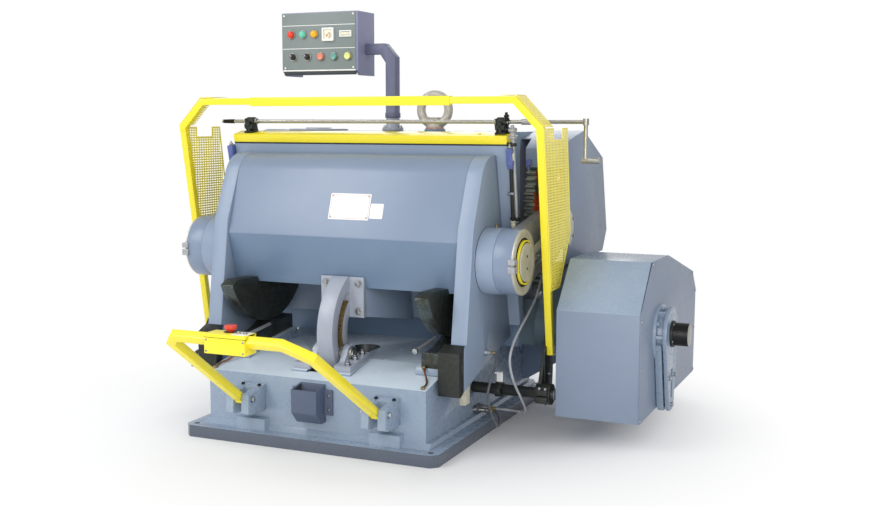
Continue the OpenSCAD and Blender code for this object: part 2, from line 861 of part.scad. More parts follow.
// one tooth flank after another round a gear, as points
function gear_points(n, r, add, ded, slack) = [
    for (i = [0:n - 1])
        let (p = 360/n, a = i*p, h = p/4 - slack/r*28.65)
        each [
            (r - ded)*[cos(a - h - p*0.09), sin(a - h - p*0.09)],
            r*[cos(a - h), sin(a - h)],
            (r + add)*[cos(a - h + p*0.115), sin(a - h + p*0.115)],
            (r + add)*[cos(a + h - p*0.115), sin(a + h - p*0.115)],
            r*[cos(a + h), sin(a + h)],
            (r - ded)*[cos(a + h + p*0.09), sin(a + h + p*0.09)]
        ]
];

module crank_gear() {
    spokes = 6;
    hub = crankshaft_r + 40;
    rim = gear_r - 44;
    color([0.77, 0.33, 0.16]) difference() {
        across(gear_x, gear_x + gear_w) translate([crank_y, crank_z]) rotate(pinion_dir + 180)
            rotate(180/gear_teeth*(gear_teeth % 2)) polygon(gear_points(gear_teeth, gear_r, gear_m*0.8, gear_m*1.25, 2.2));
        across(gear_x - 1, gear_x + gear_w + 1) translate([crank_y, crank_z]) difference() {
            circle(r = rim);
            circle(r = hub);
            for (i = [0:spokes - 1]) rotate(i*360/spokes + crank_rest)
                translate([0, -26]) square([rim + 10, 52]);
            rotate(crank_rest) translate([crank_throw, 0]) circle(r = 74);
        }
        pin_x(crank_y, crank_z, crankshaft_r, gear_x - 5, gear_x + gear_w + 5);
    }
}

module crank_gears() {
    both_sides() crank_gear();
}

module crankshaft() {
    color([0.6, 0.6, 0.58]) pin_x(crank_y, crank_z, crankshaft_r, -gear_x - gear_w, gear_x + gear_w);
}

module pinion_shaft() {
    x = gear_x - 2;
    color([0.55, 0.55, 0.53]) union() {
        pin_x(pinion_y, pinion_z, pinion_shaft_r, -x - gear_w - 12, cover_x - 40);
        both_sides() across(x, x + gear_w + 4) translate([pinion_y, pinion_z])
            rotate(pinion_dir + 180 + 180/pinion_teeth)
                polygon(gear_points(pinion_teeth, pinion_r, gear_m*0.8, gear_m*1.25, 2.2));
    }
}

// one connecting rod: hub on the trunnion, shank, and big end with its crank pin
module rod_solid() {
    t = [roll_y, trunnion_z];
    p = [pin_y, pin_z];
    d = unit(p - t);
    n = left_of(d);
    big_r = 100;
    r0 = hub_r - 6;
    pocket = 0.55;
    difference() {
        union() {
            pin_x(t[0], t[1], hub_r, rod_x, rod_x + hub_w);
            across(shank_x, shank_x + shank_w) union() {
                polygon([
                    t + n*r0, t - n*r0, p - n*big_r, p + n*big_r
                ]);
                translate(p) circle(r = big_r);
            }
            pin_x(p[0], p[1], 62, gear_x + gear_w + 1, shank_x + shank_w + 16);
        }
        pin_x(t[0], t[1], trunnion_r + bore_gap, rod_x - 5, rod_x + hub_w + 5);
        // sunk web on the outer face of the shank
        across(shank_x + shank_w - 14, shank_x + shank_w + 1) polygon([
            t + d*(hub_r + 30) + n*r0*pocket, t + d*(hub_r + 30) - n*r0*pocket,
            p - d*(big_r + 20) - n*big_r*pocket, p - d*(big_r + 20) + n*big_r*pocket
        ]);
    }
}

module rod_right() {
    color([0.58, 0.65, 0.73]) rod_solid();
}

module rod_left() {
    color([0.58, 0.65, 0.73]) mirror([1, 0, 0]) rod_solid();
}

module flywheel() {
    x0 = cover_x + 40;
    w = 150;
    spokes = 5;
    color([0.4, 0.42, 0.45]) difference() {
        union() {
            pin_x(drive_y, drive_z, flywheel_r, x0, x0 + w);
            pin_x(drive_y, drive_z, 90, x0 - 14, x0 + w + 14);
        }
        across(x0 - 1, x0 + w + 1) translate([drive_y, drive_z]) difference() {
            circle(r = flywheel_r - 48);
            circle(r = 90);
            for (i = [0:spokes - 1]) rotate(i*360/spokes + 18)
                translate([0, -24]) square([flywheel_r, 48]);
        }
        for (i = [0:2]) translate([x0 + 22 + i*24, drive_y, drive_z]) rotate([0, 90, 0])
            rotate_extrude() translate([flywheel_r + 1, 0]) polygon([[0, -8], [0, 8], [-14, 4], [-14, -4]]);
        pin_x(drive_y, drive_z, drive_shaft_r, x0 - 20, x0 + w + 20);
    }
}

module flywheel_shaft() {
    color([0.12, 0.13, 0.15]) pin_x(drive_y, drive_z, drive_shaft_r, gear_x + gear_w + 42, 1333);
}

module motor_pulley() {
    x0 = cover_x + 50;
    color([0.35, 0.36, 0.38]) difference() {
        pin_x(motor_y, motor_z, motor_pulley_r, x0, x0 + 78);
        for (i = [0:2]) translate([x0 + 12 + i*24, motor_y, motor_z]) rotate([0, 90, 0])
            rotate_extrude() translate([motor_pulley_r + 1, 0]) polygon([[0, -8], [0, 8], [-14, 4], [-14, -4]]);
        pin_x(motor_y, motor_z, 19 + bore_gap, x0 - 5, x0 + 90);
    }
}

// a belt's outline: two arcs joined by straight runs
function belt_loop(c0, r0, c1, r1) =
    let (
        v = c1 - c0,
        a = atan2(v[1], v[0]),
        b = acos((r0 - r1)/norm(v))
    )
    concat(arc(c0, r0, a + b, a + 360 - b, 30), arc(c1, r1, a - b, a + b, 16));

module drive_belts() {
    c0 = [drive_y, drive_z];
    c1 = [motor_y, motor_z];
    color([0.1, 0.1, 0.1]) for (i = [0:2]) {
        x = cover_x + 62 + i*24;
        across(x - 5.1, x + 5.1) difference() {
            polygon(belt_loop(c0, flywheel_r + 3, c1, motor_pulley_r + 3));
            polygon(belt_loop(c0, flywheel_r - 8, c1, motor_pulley_r - 8));
        }
    }
}

// ---------------------------------------------------------------- safety guards

arch_foot = [arch_half, -90, 350];
arch_corner = [arch_half, -245, 1257];
arch_top = [719, -245, 1365];

arch_y1 = arch_corner[1];
// middle line of the arch's top, and its outer face, in X and Z
arch_line = [
    [-arch_half, arch_corner[2] - 60], [arch_half, arch_corner[2] - 60],
    [arch_half, arch_corner[2]], [arch_top[0], arch_top[2]],
    [-arch_top[0], arch_top[2]], [-arch_half, arch_corner[2]]
];
arch_outer = inset(arch_line, -arch_bar/2);

// an outline in X and Z, drawn out from y0 to y1
module along(y0, y1) {
    translate([0, y1, 0]) rotate([90, 0, 0]) linear_extrude(y1 - y0) children();
}

module guard_arch() {
    b = arch_bar;
    v = [arch_corner[1] - arch_foot[1], arch_corner[2] - arch_foot[2]];
    n = left_of(unit(v))*b/2;
    foot = [arch_foot[1], arch_foot[2]];
    top = foot + v;
    color([0.96, 0.9, 0.15]) union() {
        along(arch_y1 - b/2, arch_y1 + b/2) difference() {
            polygon(arch_outer);
            polygon(inset(arch_line, b/2));
            translate([-2*arch_half, 0]) square([4*arch_half, arch_corner[2] - 18]);
        }
        both_sides() across(arch_half - b/2, arch_half + b/2)
            polygon([foot - n, top - n, top + n, foot + n]);
        // deeper middle of the cross bar
        along(arch_y1 - b/2 - 4, arch_y1 + b/2 - 1)
            translate([-470, arch_top[2] - 20]) square([920, 37]);
    }
}

// perforated side sheets on the outer faces of the arch's bars
module guard_mesh() {
    t = 3;
    x = arch_half + arch_bar/2;
    skin = inset(arch_line, -arch_bar/2 - t);
    color([0.9, 0.84, 0.2]) both_sides() difference() {
        union() {
            across(x, x + t) polygon([
                [-144, 613], [-28, 613], [108, 826], [47, 1256], [-258, 1256]
            ]);
            // sloped upper sheet on the chamfer
            along(-258, -37) polygon([
                arch_outer[2] - [0, 20], arch_outer[2], arch_outer[3], skin[3], skin[2],
                skin[2] - [0, 20]
            ]);
        }
        // notch for the rod across the platen's top
        box([650, -132, 1212], [900, -20, 1345]);
    }
}

// levers keyed on the shaft that carries the arch
module guard_shaft() {
    v = [arch_foot[1] - arch_y, arch_foot[2] - arch_z];
    a = atan2(v[1], v[0]);
    color([0.15, 0.15, 0.16]) union() {
        pin_x(arch_y, arch_z, 22, -arch_half - 28, arch_half + 40);
        both_sides() {
            pin_x(arch_y, arch_z, 42, arch_half - 34, arch_half + 28);
            across(arch_half - arch_bar/2 - 14, arch_half - arch_bar/2)
                translate([arch_y, arch_z]) rotate(a) translate([0, -26]) square([norm(v) + 70, 52]);
            pin_x(arch_foot[1], arch_foot[2], 26, arch_half - arch_bar/2 - 14, arch_half - arch_bar/2);
        }
    }
}

bail_far = [-1105, 500];

// route of the bail's bar, from its left pin round to its right pin
function bail_route() = let (xl = bail_x - bail_w/2, xr = bail_x + bail_w/2) [
    [xl, bail_pin[0], bail_pin[1]], [xl, bail_far[0], bail_far[1]],
    [xl + 22, bar_y, bar_z], [198, bar_y, bar_z], [xr, bar_y - 17, bar_z - 34],
    [xr, bail_pin[0], bail_pin[1]]
];

module safety_bar() {
    color([0.96, 0.9, 0.15]) union() {
        bent_bar(bail_route(), bail_bar);
        for (x = [bail_x - bail_w/2, bail_x + bail_w/2]) {
            pin_x(bail_pin[0], bail_pin[1], 9, x - 50, x + 50);
            pin_x(bail_pin[0], bail_pin[1], bail_bar/2 + 4, x - 15, x + 15);
        }
    }
}

estop_x = -21;

bar_z = 525;
bar_y = -1121;

// the box is clamped round the bar
module estop_box() {
    color([0.96, 0.9, 0.15]) difference() {
        box([estop_x - 84, bar_y - 24, bar_z - 47], [estop_x + 84, bar_y + 50, bar_z + 24]);
        bent_bar(bail_route(), bail_bar);
        translate([estop_x - 10, bar_y + 33, bar_z]) cylinder(r = 11 + bore_gap, h = 60);
    }
}

module estop_button() {
    color([0.88, 0.41, 0.35]) translate([estop_x - 10, bar_y + 33, bar_z]) union() {
        translate([0, 0, 6]) cylinder(r = 11, h = 36);
        translate([0, 0, 30]) cylinder(r1 = 17, r2 = 22, h = 8, $fn = 48);
        translate([0, 0, 38]) cylinder(r = 22, h = 10);
    }
}

// ---------------------------------------------------------------- control panel

module mast() {
    s = mast_tube;
    z0 = bed_top + 16;
    z1 = bed_top + 99;
    bend_z = arm_z - 60;
    color([0.44, 0.45, 0.54]) union() {
        translate([mast_x, mast_y, z0 + seat]) cylinder(r = s/2 - 1, h = z1 - z0);
        translate([mast_x, mast_y, bed_top + 58 + seat]) cylinder(r = 34, h = 22);
        box([mast_x - s/2, mast_y - s/2, z1 - 20], [mast_x + s/2, mast_y + s/2, bend_z]);
        // bend
        translate([0, mast_y + s/2, 0]) rotate([90, 0, 0]) linear_extrude(s) polygon([
            [mast_x + s/2, bend_z], [mast_x + s/2, bend_z + 24], [mast_x - 28, arm_z + s/2],
            [panel_x + panel_w, arm_z + s/2], [panel_x + panel_w, arm_z - s/2],
            [mast_x - 50, arm_z - s/2], [mast_x - s/2, bend_z]
        ]);
    }
}

module panel_box() {
    x1 = panel_x + panel_w;
    y1 = panel_y + panel_d;
    z1 = panel_z + panel_h;
    color([0.52, 0.53, 0.64]) difference() {
        union() {
            box([panel_x, panel_y + 6, panel_z + 18], [x1, y1, z1]);
            // side covers stand a little proud, with a slanted lip below
            for (x = [panel_x, x1 - 12]) across(x, x + 12) polygon([
                [panel_y, panel_z + 22], [panel_y + 26, panel_z], [y1, panel_z], [y1, z1],
                [panel_y, z1]
            ]);
            box([panel_x, panel_y, z1 - 8], [x1, y1, z1]);
        }
        for (c = button_spots()) pin_ypos(c[0], c[1], lamp_d/2 - 5, panel_y - 5, panel_y + 60);
    }
}

function face_x(k) = panel_x + panel_w*k;
function face_z(k) = panel_z + panel_h*k;
function button_spots() = [
    for (k = [0.155, 0.345, 0.525, 0.70, 0.88]) [face_x(k), face_z(0.30)]
];
function lamp_spots() = [for (k = [0.13, 0.285, 0.44]) [face_x(k), face_z(0.655)]];

module panel_lamps() {
    y = panel_y + 6;
    for (i = [0:2]) color([[0.85, 0.1, 0.1], [0.1, 0.7, 0.2], [0.95, 0.6, 0.1]][i])
        translate([lamp_spots()[i][0], y, lamp_spots()[i][1]]) rotate([90, 0, 0]) union() {
            cylinder(r = lamp_d/2, h = 6);
            cylinder(r = lamp_d/2 - 4, h = 14);
        }
}

// a push button with a stem in its bore
module push_button(i) {
    c = button_spots()[i];
    translate([c[0], panel_y + 6, c[1]]) rotate([90, 0, 0]) union() {
        translate([0, 0, -24]) cylinder(r = lamp_d/2 - 5 - bore_gap, h = 40);
        translate([0, 0, 6 + seat]) cylinder(r = lamp_d/2 - 1, h = 10);
    }
}

module button_red() {
    color([0.85, 0.1, 0.1]) push_button(2);
}

module button_green() {
    color([0.1, 0.6, 0.2]) push_button(3);
}

module button_yellow() {
    color([0.95, 0.9, 0.6]) push_button(4);
}

module selector(i) {
    c = button_spots()[i];
    translate([c[0], panel_y + 6, c[1]]) rotate([90, 0, 0]) union() {
        translate([0, 0, -24]) cylinder(r = lamp_d/2 - 5 - bore_gap, h = 30);
        translate([0, 0, seat]) cylinder(r = lamp_d/2 - 1, h = 9);
        rotate([0, 0, 45]) translate([-4, -lamp_d/2 + 2, 0]) cube([8, lamp_d - 4, 19]);
    }
}

module selector_left() {
    color([0.1, 0.1, 0.1]) selector(0);
}

module selector_right() {
    color([0.1, 0.1, 0.1]) selector(1);
}

// ---------------------------------------------------------------- lubrication hoses

// points along each hose, end to end
gland_x = base_half + 64;
gland_z = 88;
hose_a = [
    [720, 128, 640], [720, 112, 640], [720, 74, 612], [720, 20, 558], [720, -60, 512],
    [720, -165, 462], [720, -250, 412], [720, -288, 350], [726, -262, 268], [732, -196, 190],
    [726, -122, 126], [700, -68, 94], [650, -46, gland_z], [600, -44, gland_z],
    [580, -44, gland_z], [gland_x, -44, gland_z]
];
hose_b = [
    [cheek_half + stub_l, -230, 364], [632, -230, 364], [650, -246, 344], [648, -280, 296],
    [636, -306, 222], [642, -292, 140], [650, -244, 78], [636, -176, 62], [606, -108, 78],
    [576, -86, gland_z], [gland_x, -86, gland_z]
];

function lerp_path(p, n) = [
    for (i = [0:len(p) - 2]) for (k = [0:n - 1])
        let (
            a = p[max(i - 1, 0)], b = p[i], c = p[i + 1], d = p[min(i + 2, len(p) - 1)],
            t = k/n
        )
        0.5*(2*b + (c - a)*t + (2*a - 5*b + 4*c - d)*t*t + (3*b - a - 3*c + d)*t*t*t),
    p[len(p) - 1]
];

// a round tube swept along a route
module hose(route, r, sides) {
    p = lerp_path(route, 5);
    n = len(p);
    e = len(route) - 1;
    pts = [
        for (i = [0:n - 1])
            let (
                d = unit(
                    i == 0 ? route[1] - route[0]
                    : i == n - 1 ? route[e] - route[e - 1]
                    : p[i + 1] - p[i - 1]
                ),
                s = unit(cross(d, [1, 1, 0])),
                u = cross(s, d)
            )
            for (k = [0:sides - 1]) p[i] + r*(cos(360*k/sides)*s + sin(360*k/sides)*u)
    ];
    faces = [
        [for (k = [sides - 1:-1:0]) k],
        for (i = [0:n - 2], k = [0:sides - 1]) let (m = (k + 1) % sides)
            [i*sides + m, (i + 1)*sides + m, (i + 1)*sides + k, i*sides + k],
        [for (k = [0:sides - 1]) (n - 1)*sides + k]
    ];
    polyhedron(pts, faces, convexity = 4);
}

module lube_hoses() {
    color([0.55, 0.56, 0.58]) {
        hose(hose_a, hose_r, 8);
        hose(hose_b, hose_r, 8);
    }
}

base();
bed();
rocker_rails();
guide_bracket();
guide_pin();
front_pocket();
bar_blocks();
gear_guard_right();
gear_guard_left();
flywheel_cover();
cover_bearing();
brake_arm();
chase();
eye_bolt();
top_cap();
mast_socket();
crank_bushes();
motor();
motor_bracket();
gearbox();
limit_switch();
base_gland();
platen_plate();
platen_housing();
platen_cheeks();
foot_pads();
rocker_sectors();
guide_arm();
guide_block();
arm_bolts();
trim_strip();
trunnion_pins();
rod_brackets();
plate_switches();
top_rod();
rod_right();
rod_left();
crankshaft();
crank_gears();
pinion_shaft();
flywheel();
flywheel_shaft();
motor_pulley();
drive_belts();
guard_arch();
guard_mesh();
guard_shaft();
safety_bar();
estop_box();
estop_button();
mast();
panel_box();
panel_lamps();
button_red();
button_green();
button_yellow();
selector_left();
selector_right();
lube_hoses();
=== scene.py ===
# platen creasing and die cutting press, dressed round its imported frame
import bpy
import json
import random
from math import radians, sin, cos, tan, pi
from mathutils import Vector, Matrix


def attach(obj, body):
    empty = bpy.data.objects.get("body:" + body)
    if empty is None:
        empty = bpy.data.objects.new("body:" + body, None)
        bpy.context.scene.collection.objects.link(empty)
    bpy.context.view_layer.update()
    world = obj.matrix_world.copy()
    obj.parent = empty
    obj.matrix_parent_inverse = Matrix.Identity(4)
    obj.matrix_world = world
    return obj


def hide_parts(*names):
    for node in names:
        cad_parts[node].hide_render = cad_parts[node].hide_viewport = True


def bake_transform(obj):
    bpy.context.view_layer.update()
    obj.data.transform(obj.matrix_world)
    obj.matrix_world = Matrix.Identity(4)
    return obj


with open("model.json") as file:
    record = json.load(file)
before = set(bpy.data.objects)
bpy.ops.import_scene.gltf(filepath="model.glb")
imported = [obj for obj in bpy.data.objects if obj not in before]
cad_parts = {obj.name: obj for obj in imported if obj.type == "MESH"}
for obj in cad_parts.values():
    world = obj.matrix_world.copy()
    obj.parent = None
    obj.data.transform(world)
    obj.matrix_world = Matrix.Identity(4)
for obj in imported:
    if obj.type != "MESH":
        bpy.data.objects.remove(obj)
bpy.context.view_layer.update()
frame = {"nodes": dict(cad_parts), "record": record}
bpy.ops.object.select_all(action="DESELECT")
random.seed(7)
bpy.context.tool_settings.mesh_select_mode = (False, False, True)
nodeBody = {node: body for body, nodes in frame["record"]["behaviour"]["bodies"].items() for node in nodes}
mm = 0.001


# camera, floor and lamps
print("stage")
studio = {
    "cameraPlace": (2.227, -4.415, 1.300), "cameraDown": 6.8, "cameraTurn": 23.8, "lens": 47.09,
    "skyStrength": 0.70, "keySize": 3.2, "keyPower": 112, "fillPower": 74, "backPower": 60,
}


def addCamera(s):
    bpy.ops.object.camera_add(
        location=s["cameraPlace"], rotation=(radians(90 - s["cameraDown"]), 0, radians(s["cameraTurn"])))
    camera = bpy.context.object
    camera.data.lens = s["lens"]
    camera.data.sensor_width = 36
    camera.data.clip_end = 60
    bpy.context.scene.camera = camera


def addLamp(name, place, target, size, power):
    bpy.ops.object.light_add(type="AREA", location=place)
    lamp = bpy.context.object
    lamp.name = name
    lamp.rotation_euler = (Vector(target) - Vector(place)).to_track_quat("-Z", "Y").to_euler()
    lamp.data.size = size
    lamp.data.energy = power


def addStudio(s):
    world = bpy.data.worlds.new("softRoom")
    bpy.context.scene.world = world
    world.use_nodes = True
    tree = world.node_tree
    tree.nodes.clear()
    path = tree.nodes.new("ShaderNodeLightPath")
    most = tree.nodes.new("ShaderNodeMath")
    most.operation = "MAXIMUM"
    room = tree.nodes.new("ShaderNodeBackground")
    room.inputs["Color"].default_value = (0.97, 0.98, 1, 1)
    room.inputs["Strength"].default_value = s["skyStrength"]
    white = tree.nodes.new("ShaderNodeBackground")
    white.inputs["Color"].default_value = (1, 1, 1, 1)
    white.inputs["Strength"].default_value = 1
    mix = tree.nodes.new("ShaderNodeMixShader")
    out = tree.nodes.new("ShaderNodeOutputWorld")
    tree.links.new(path.outputs["Is Camera Ray"], most.inputs[0])
    tree.links.new(path.outputs["Is Transmission Ray"], most.inputs[1])
    tree.links.new(most.outputs[0], mix.inputs[0])
    tree.links.new(room.outputs[0], mix.inputs[1])
    tree.links.new(white.outputs[0], mix.inputs[2])
    tree.links.new(mix.outputs[0], out.inputs["Surface"])

    addLamp("keyLamp", (-2.6, -3.6, 3.9), (0, -0.2, 0.7), s["keySize"], s["keyPower"])
    addLamp("fillLamp", (2.3, -4.3, 1.7), (0.4, 0, 0.6), 2.6, s["fillPower"])
    addLamp("backLamp", (-1.2, 4.0, 3.4), (0, 0.2, 0.8), 3.0, s["backPower"])

    bpy.ops.mesh.primitive_plane_add(size=24, location=(0, 0, -0.0006))
    floor = bpy.context.object
    floor.name = "studioFloor"
    surface = bpy.data.materials.new("paleFloor")
    surface.use_nodes = True
    tree = surface.node_tree
    shader = tree.nodes["Principled BSDF"]
    shader.inputs["Base Color"].default_value = (0.93, 0.93, 0.93, 1)
    shader.inputs["Roughness"].default_value = 0.75
    # the floor fades into the white room away from the machine, and keeps its shadow near it
    where = tree.nodes.new("ShaderNodeTexCoord")
    spread = tree.nodes.new("ShaderNodeVectorMath")
    spread.operation = "LENGTH"
    fade = tree.nodes.new("ShaderNodeMapRange")
    fade.inputs["From Min"].default_value = 0.95
    fade.inputs["From Max"].default_value = 1.75
    path = tree.nodes.new("ShaderNodeLightPath")
    camOnly = tree.nodes.new("ShaderNodeMath")
    camOnly.operation = "MULTIPLY"
    glow = tree.nodes.new("ShaderNodeEmission")
    glow.inputs["Color"].default_value = (1, 1, 1, 1)
    glow.inputs["Strength"].default_value = 1
    mix = tree.nodes.new("ShaderNodeMixShader")
    out = tree.nodes["Material Output"]
    tree.links.new(where.outputs["Object"], spread.inputs[0])
    tree.links.new(spread.outputs["Value"], fade.inputs["Value"])
    tree.links.new(fade.outputs["Result"], camOnly.inputs[0])
    tree.links.new(path.outputs["Is Camera Ray"], camOnly.inputs[1])
    tree.links.new(camOnly.outputs[0], mix.inputs[0])
    tree.links.new(shader.outputs[0], mix.inputs[1])
    tree.links.new(glow.outputs[0], mix.inputs[2])
    tree.links.new(mix.outputs[0], out.inputs["Surface"])
    floor.data.materials.append(surface)
    bpy.context.scene.view_settings.view_transform = "Standard"


addCamera(studio)
addStudio(studio)


# finishes
print("finishes")


def tint(r, g, b):
    # a paint chip's 0 to 255 values as linear colour
    def one(c):
        c /= 255
        return c / 12.92 if c <= 0.04045 else ((c + 0.055) / 1.055) ** 2.4
    return (one(r), one(g), one(b), 1)


def newFinish(name):
    finish = bpy.data.materials.new(name)
    finish.use_nodes = True
    tree = finish.node_tree
    place = tree.nodes.new("ShaderNodeTexCoord")
    return finish, tree, tree.nodes["Principled BSDF"], place.outputs["Object"]


def addNoise(tree, vector, scale, detail=3, stretch=None):
    if stretch:
        turn = tree.nodes.new("ShaderNodeMapping")
        turn.inputs["Scale"].default_value = stretch
        tree.links.new(vector, turn.inputs["Vector"])
        vector = turn.outputs["Vector"]
    grain = tree.nodes.new("ShaderNodeTexNoise")
    grain.inputs["Scale"].default_value = scale
    grain.inputs["Detail"].default_value = detail
    tree.links.new(vector, grain.inputs["Vector"])
    return grain.outputs["Fac"]


def addRamp(tree, value, stops):
    ramp = tree.nodes.new("ShaderNodeValToRGB")
    bands = ramp.color_ramp.elements
    while len(bands) < len(stops):
        bands.new(0.5)
    for band, (at, colour) in zip(bands, stops):
        band.position = at
        band.color = colour
    tree.links.new(value, ramp.inputs["Fac"])
    return ramp.outputs["Color"]


def addRange(tree, value, low, high, fromLow=0.3, fromHigh=0.7):
    spread = tree.nodes.new("ShaderNodeMapRange")
    for socket, v in zip(("From Min", "From Max", "To Min", "To Max"), (fromLow, fromHigh, low, high)):
        spread.inputs[socket].default_value = v
    tree.links.new(value, spread.inputs["Value"])
    return spread.outputs["Result"]


def addMix(tree, share, first, second, blend="MIX"):
    mix = tree.nodes.new("ShaderNodeMix")
    mix.data_type = "RGBA"
    mix.blend_type = blend
    for socket, value in ((mix.inputs[0], share), (mix.inputs[6], first), (mix.inputs[7], second)):
        if isinstance(value, (int, float, tuple)):
            socket.default_value = value
        else:
            tree.links.new(value, socket)
    return mix.outputs[2]


def addBump(tree, shader, height, strength, depth, before=None):
    bump = tree.nodes.new("ShaderNodeBump")
    bump.inputs["Strength"].default_value = strength
    bump.inputs["Distance"].default_value = depth
    tree.links.new(height, bump.inputs["Height"])
    if before:
        tree.links.new(before, bump.inputs["Normal"])
    tree.links.new(bump.outputs["Normal"], shader.inputs["Normal"])
    return bump.outputs["Normal"]


def paint(name, tone, shade, dirt=None, gloss=0.36, peel=0.07, lumps=0.0, soil=0.0, coat=0.15):
    # sprayed enamel: two close tones, orange peel, worn gloss, and soil that gathers in patches
    finish, tree, shader, place = newFinish(name)
    cloud = addNoise(tree, place, 2.3, 4)
    colour = addRamp(tree, cloud, ((0.32, tone), (0.72, shade)))
    fine = addNoise(tree, place, 34, 5)
    colour = addMix(tree, addRange(tree, fine, 0, 0.12), colour, shade)
    if soil:
        patch = addNoise(tree, place, 7.5, 6)
        colour = addMix(tree, addRange(tree, patch, 0, soil, 0.52, 0.78), colour, dirt or tint(52, 50, 44))
    tree.links.new(colour, shader.inputs["Base Color"])
    tree.links.new(addRange(tree, fine, gloss - 0.03, gloss + 0.06), shader.inputs["Roughness"])
    shader.inputs["Coat Weight"].default_value = coat
    shader.inputs["Coat Roughness"].default_value = 0.22
    skin = addBump(tree, shader, addNoise(tree, place, 70, 2), peel, 0.0003)
    if lumps:
        addBump(tree, shader, addNoise(tree, place, 16, 3), lumps, 0.006, skin)
    return finish


def metal(name, tone, shade, rough=0.3, brush=None, pits=0.1, grease=0.0, greaseTone=None, metallic=1.0):
    # bare metal with its machining marks, and grease where it gathers
    finish, tree, shader, place = newFinish(name)
    marks = addNoise(tree, place, 60, 5, brush)
    cloud = addNoise(tree, place, 9, 4)
    colour = addRamp(tree, marks, ((0.3, tone), (0.75, shade)))
    colour = addMix(tree, addRange(tree, cloud, 0, 0.4), colour, shade)
    roughness = addRange(tree, marks, rough - 0.08, rough + 0.14)
    if grease:
        smear = addNoise(tree, place, 13, 6)
        share = addRange(tree, smear, 0, grease, 0.45, 0.62)
        colour = addMix(tree, share, colour, greaseTone or tint(40, 33, 22))
    tree.links.new(colour, shader.inputs["Base Color"])
    tree.links.new(roughness, shader.inputs["Roughness"])
    shader.inputs["Metallic"].default_value = metallic
    addBump(tree, shader, marks, pits, 0.0006)
    return finish


def plastic(name, tone, shade, rough=0.32, grain=0.05, glow=0.0):
    finish, tree, shader, place = newFinish(name)
    cloud = addNoise(tree, place, 45, 3)
    tree.links.new(addRamp(tree, cloud, ((0.3, tone), (0.75, shade))), shader.inputs["Base Color"])
    tree.links.new(addRange(tree, cloud, rough - 0.05, rough + 0.08), shader.inputs["Roughness"])
    addBump(tree, shader, addNoise(tree, place, 900, 2), grain, 0.0002)
    if glow:
        shader.inputs["Emission Color"].default_value = tone
        shader.inputs["Emission Strength"].default_value = glow
    return finish


bodyBlue = paint("bodyBlueEnamel", tint(129, 144, 166), tint(121, 136, 159), gloss=0.32)
# a lighter copy of the body enamel for the plate, cheeks and guide block: painted light that lifts the plate
# front out of the shadow under the strip
litBodyBlue = paint("paintedLightBodyEnamel", tint(140, 155, 176), tint(130, 146, 168), gloss=0.36)
# a darker copy of the body enamel for faces under and behind the platen: painted shade, partly a deeper tone
recessShadeBlue = paint("recessPaintedShadeEnamel", tint(110, 131, 156), tint(98, 120, 146), gloss=0.42)
baseBlue = paint("baseBlueEnamel", tint(146, 162, 181), tint(134, 150, 170), tint(96, 104, 108), 0.26,
                 0.06, 0, 0.1, 0.3)
# a lighter copy of the base enamel for the deck's top faces: painted light, since the deck lies in the
# platen's shadow; its soil patches are real dirt
deckLitBlue = paint("deckPaintedLightEnamel", tint(206, 219, 229), tint(194, 208, 219), tint(126, 136, 140), 0.22,
                 0.05, 0, 0.12, 0.4)
# a darker copy of the base enamel for the foot flange by the floor: painted shade, with real soil patches
flangeShadeBlue = paint("flangePaintedShadeEnamel", tint(84, 92, 106), tint(76, 85, 99), tint(60, 66, 72), 0.3, 0.06, 0,
                   0.15, 0.3)
# near-black paint for the insides of the well and pocket and under the panel's edge: painted shadow
shadowDark = paint("paintedShadowPaint", tint(52, 58, 62), tint(40, 45, 48), gloss=0.4)
coverBlue = paint("coverBlueEnamel", tint(128, 141, 161), tint(120, 133, 154), gloss=0.40)
paleGrey = paint("paleGreyEnamel", tint(164, 170, 182), tint(148, 155, 169), gloss=0.32, coat=0.3)
safetyYellow = paint("safetyYellowEnamel", tint(246, 230, 48), tint(242, 223, 38), tint(190, 170, 40),
                     0.30, 0.05, 0, 0.02, 0.3)
meshYellow = paint("perforatedYellow", tint(252, 238, 96), tint(248, 230, 78), tint(190, 170, 60), 0.34,
                   0.04, 0, 0.03, 0.2)
pocketCoat = paint("pocketEnamel", tint(82, 93, 116), tint(74, 85, 108), gloss=0.42)
violetCoat = paint("violetPowderCoat", tint(140, 141, 170), tint(130, 132, 161), gloss=0.45, peel=0.3,
                   coat=0)
mastCoat = paint("mastPowderCoat", tint(104, 106, 132), tint(90, 94, 120), gloss=0.45, peel=0.3, coat=0)
faceGrey = paint("panelFaceGrey", tint(128, 138, 136), tint(114, 124, 124), gloss=0.42, peel=0.05, coat=0.1)
motorGreen = paint("motorPaint", tint(96, 112, 122), tint(82, 98, 108), tint(40, 40, 36), 0.42, 0.2, 0.1,
                   0.25, 0.1)
blackIron = metal("oiledBlackIron", tint(58, 61, 58), tint(44, 47, 44), 0.40, None, 0.2, 0.15,
                  tint(30, 28, 22), 0.5)
rockerIron = metal("greasyRockerIron", tint(62, 68, 60), tint(42, 46, 41), 0.42, None, 0.4, 0.35,
                   tint(30, 26, 18), 0.5)
railIron = metal("oiledRailSteel", tint(104, 112, 110), tint(62, 70, 70), 0.28, (1, 8, 1), 0.15, 0.55,
                 tint(54, 44, 28), 0.8)
darkSteel = metal("blackenedSteel", tint(58, 58, 58), tint(32, 32, 33), 0.34, (1, 14, 14), 0.1)
steel = metal("machinedSteel", tint(190, 189, 182), tint(150, 148, 140), 0.28, (1, 16, 16), 0.12)
rodSteel = metal("groundRodSteel", tint(190, 191, 194), tint(158, 159, 164), 0.36, (3, 20, 3), 0.12, 0.2,
                 tint(98, 98, 100), 0.5)
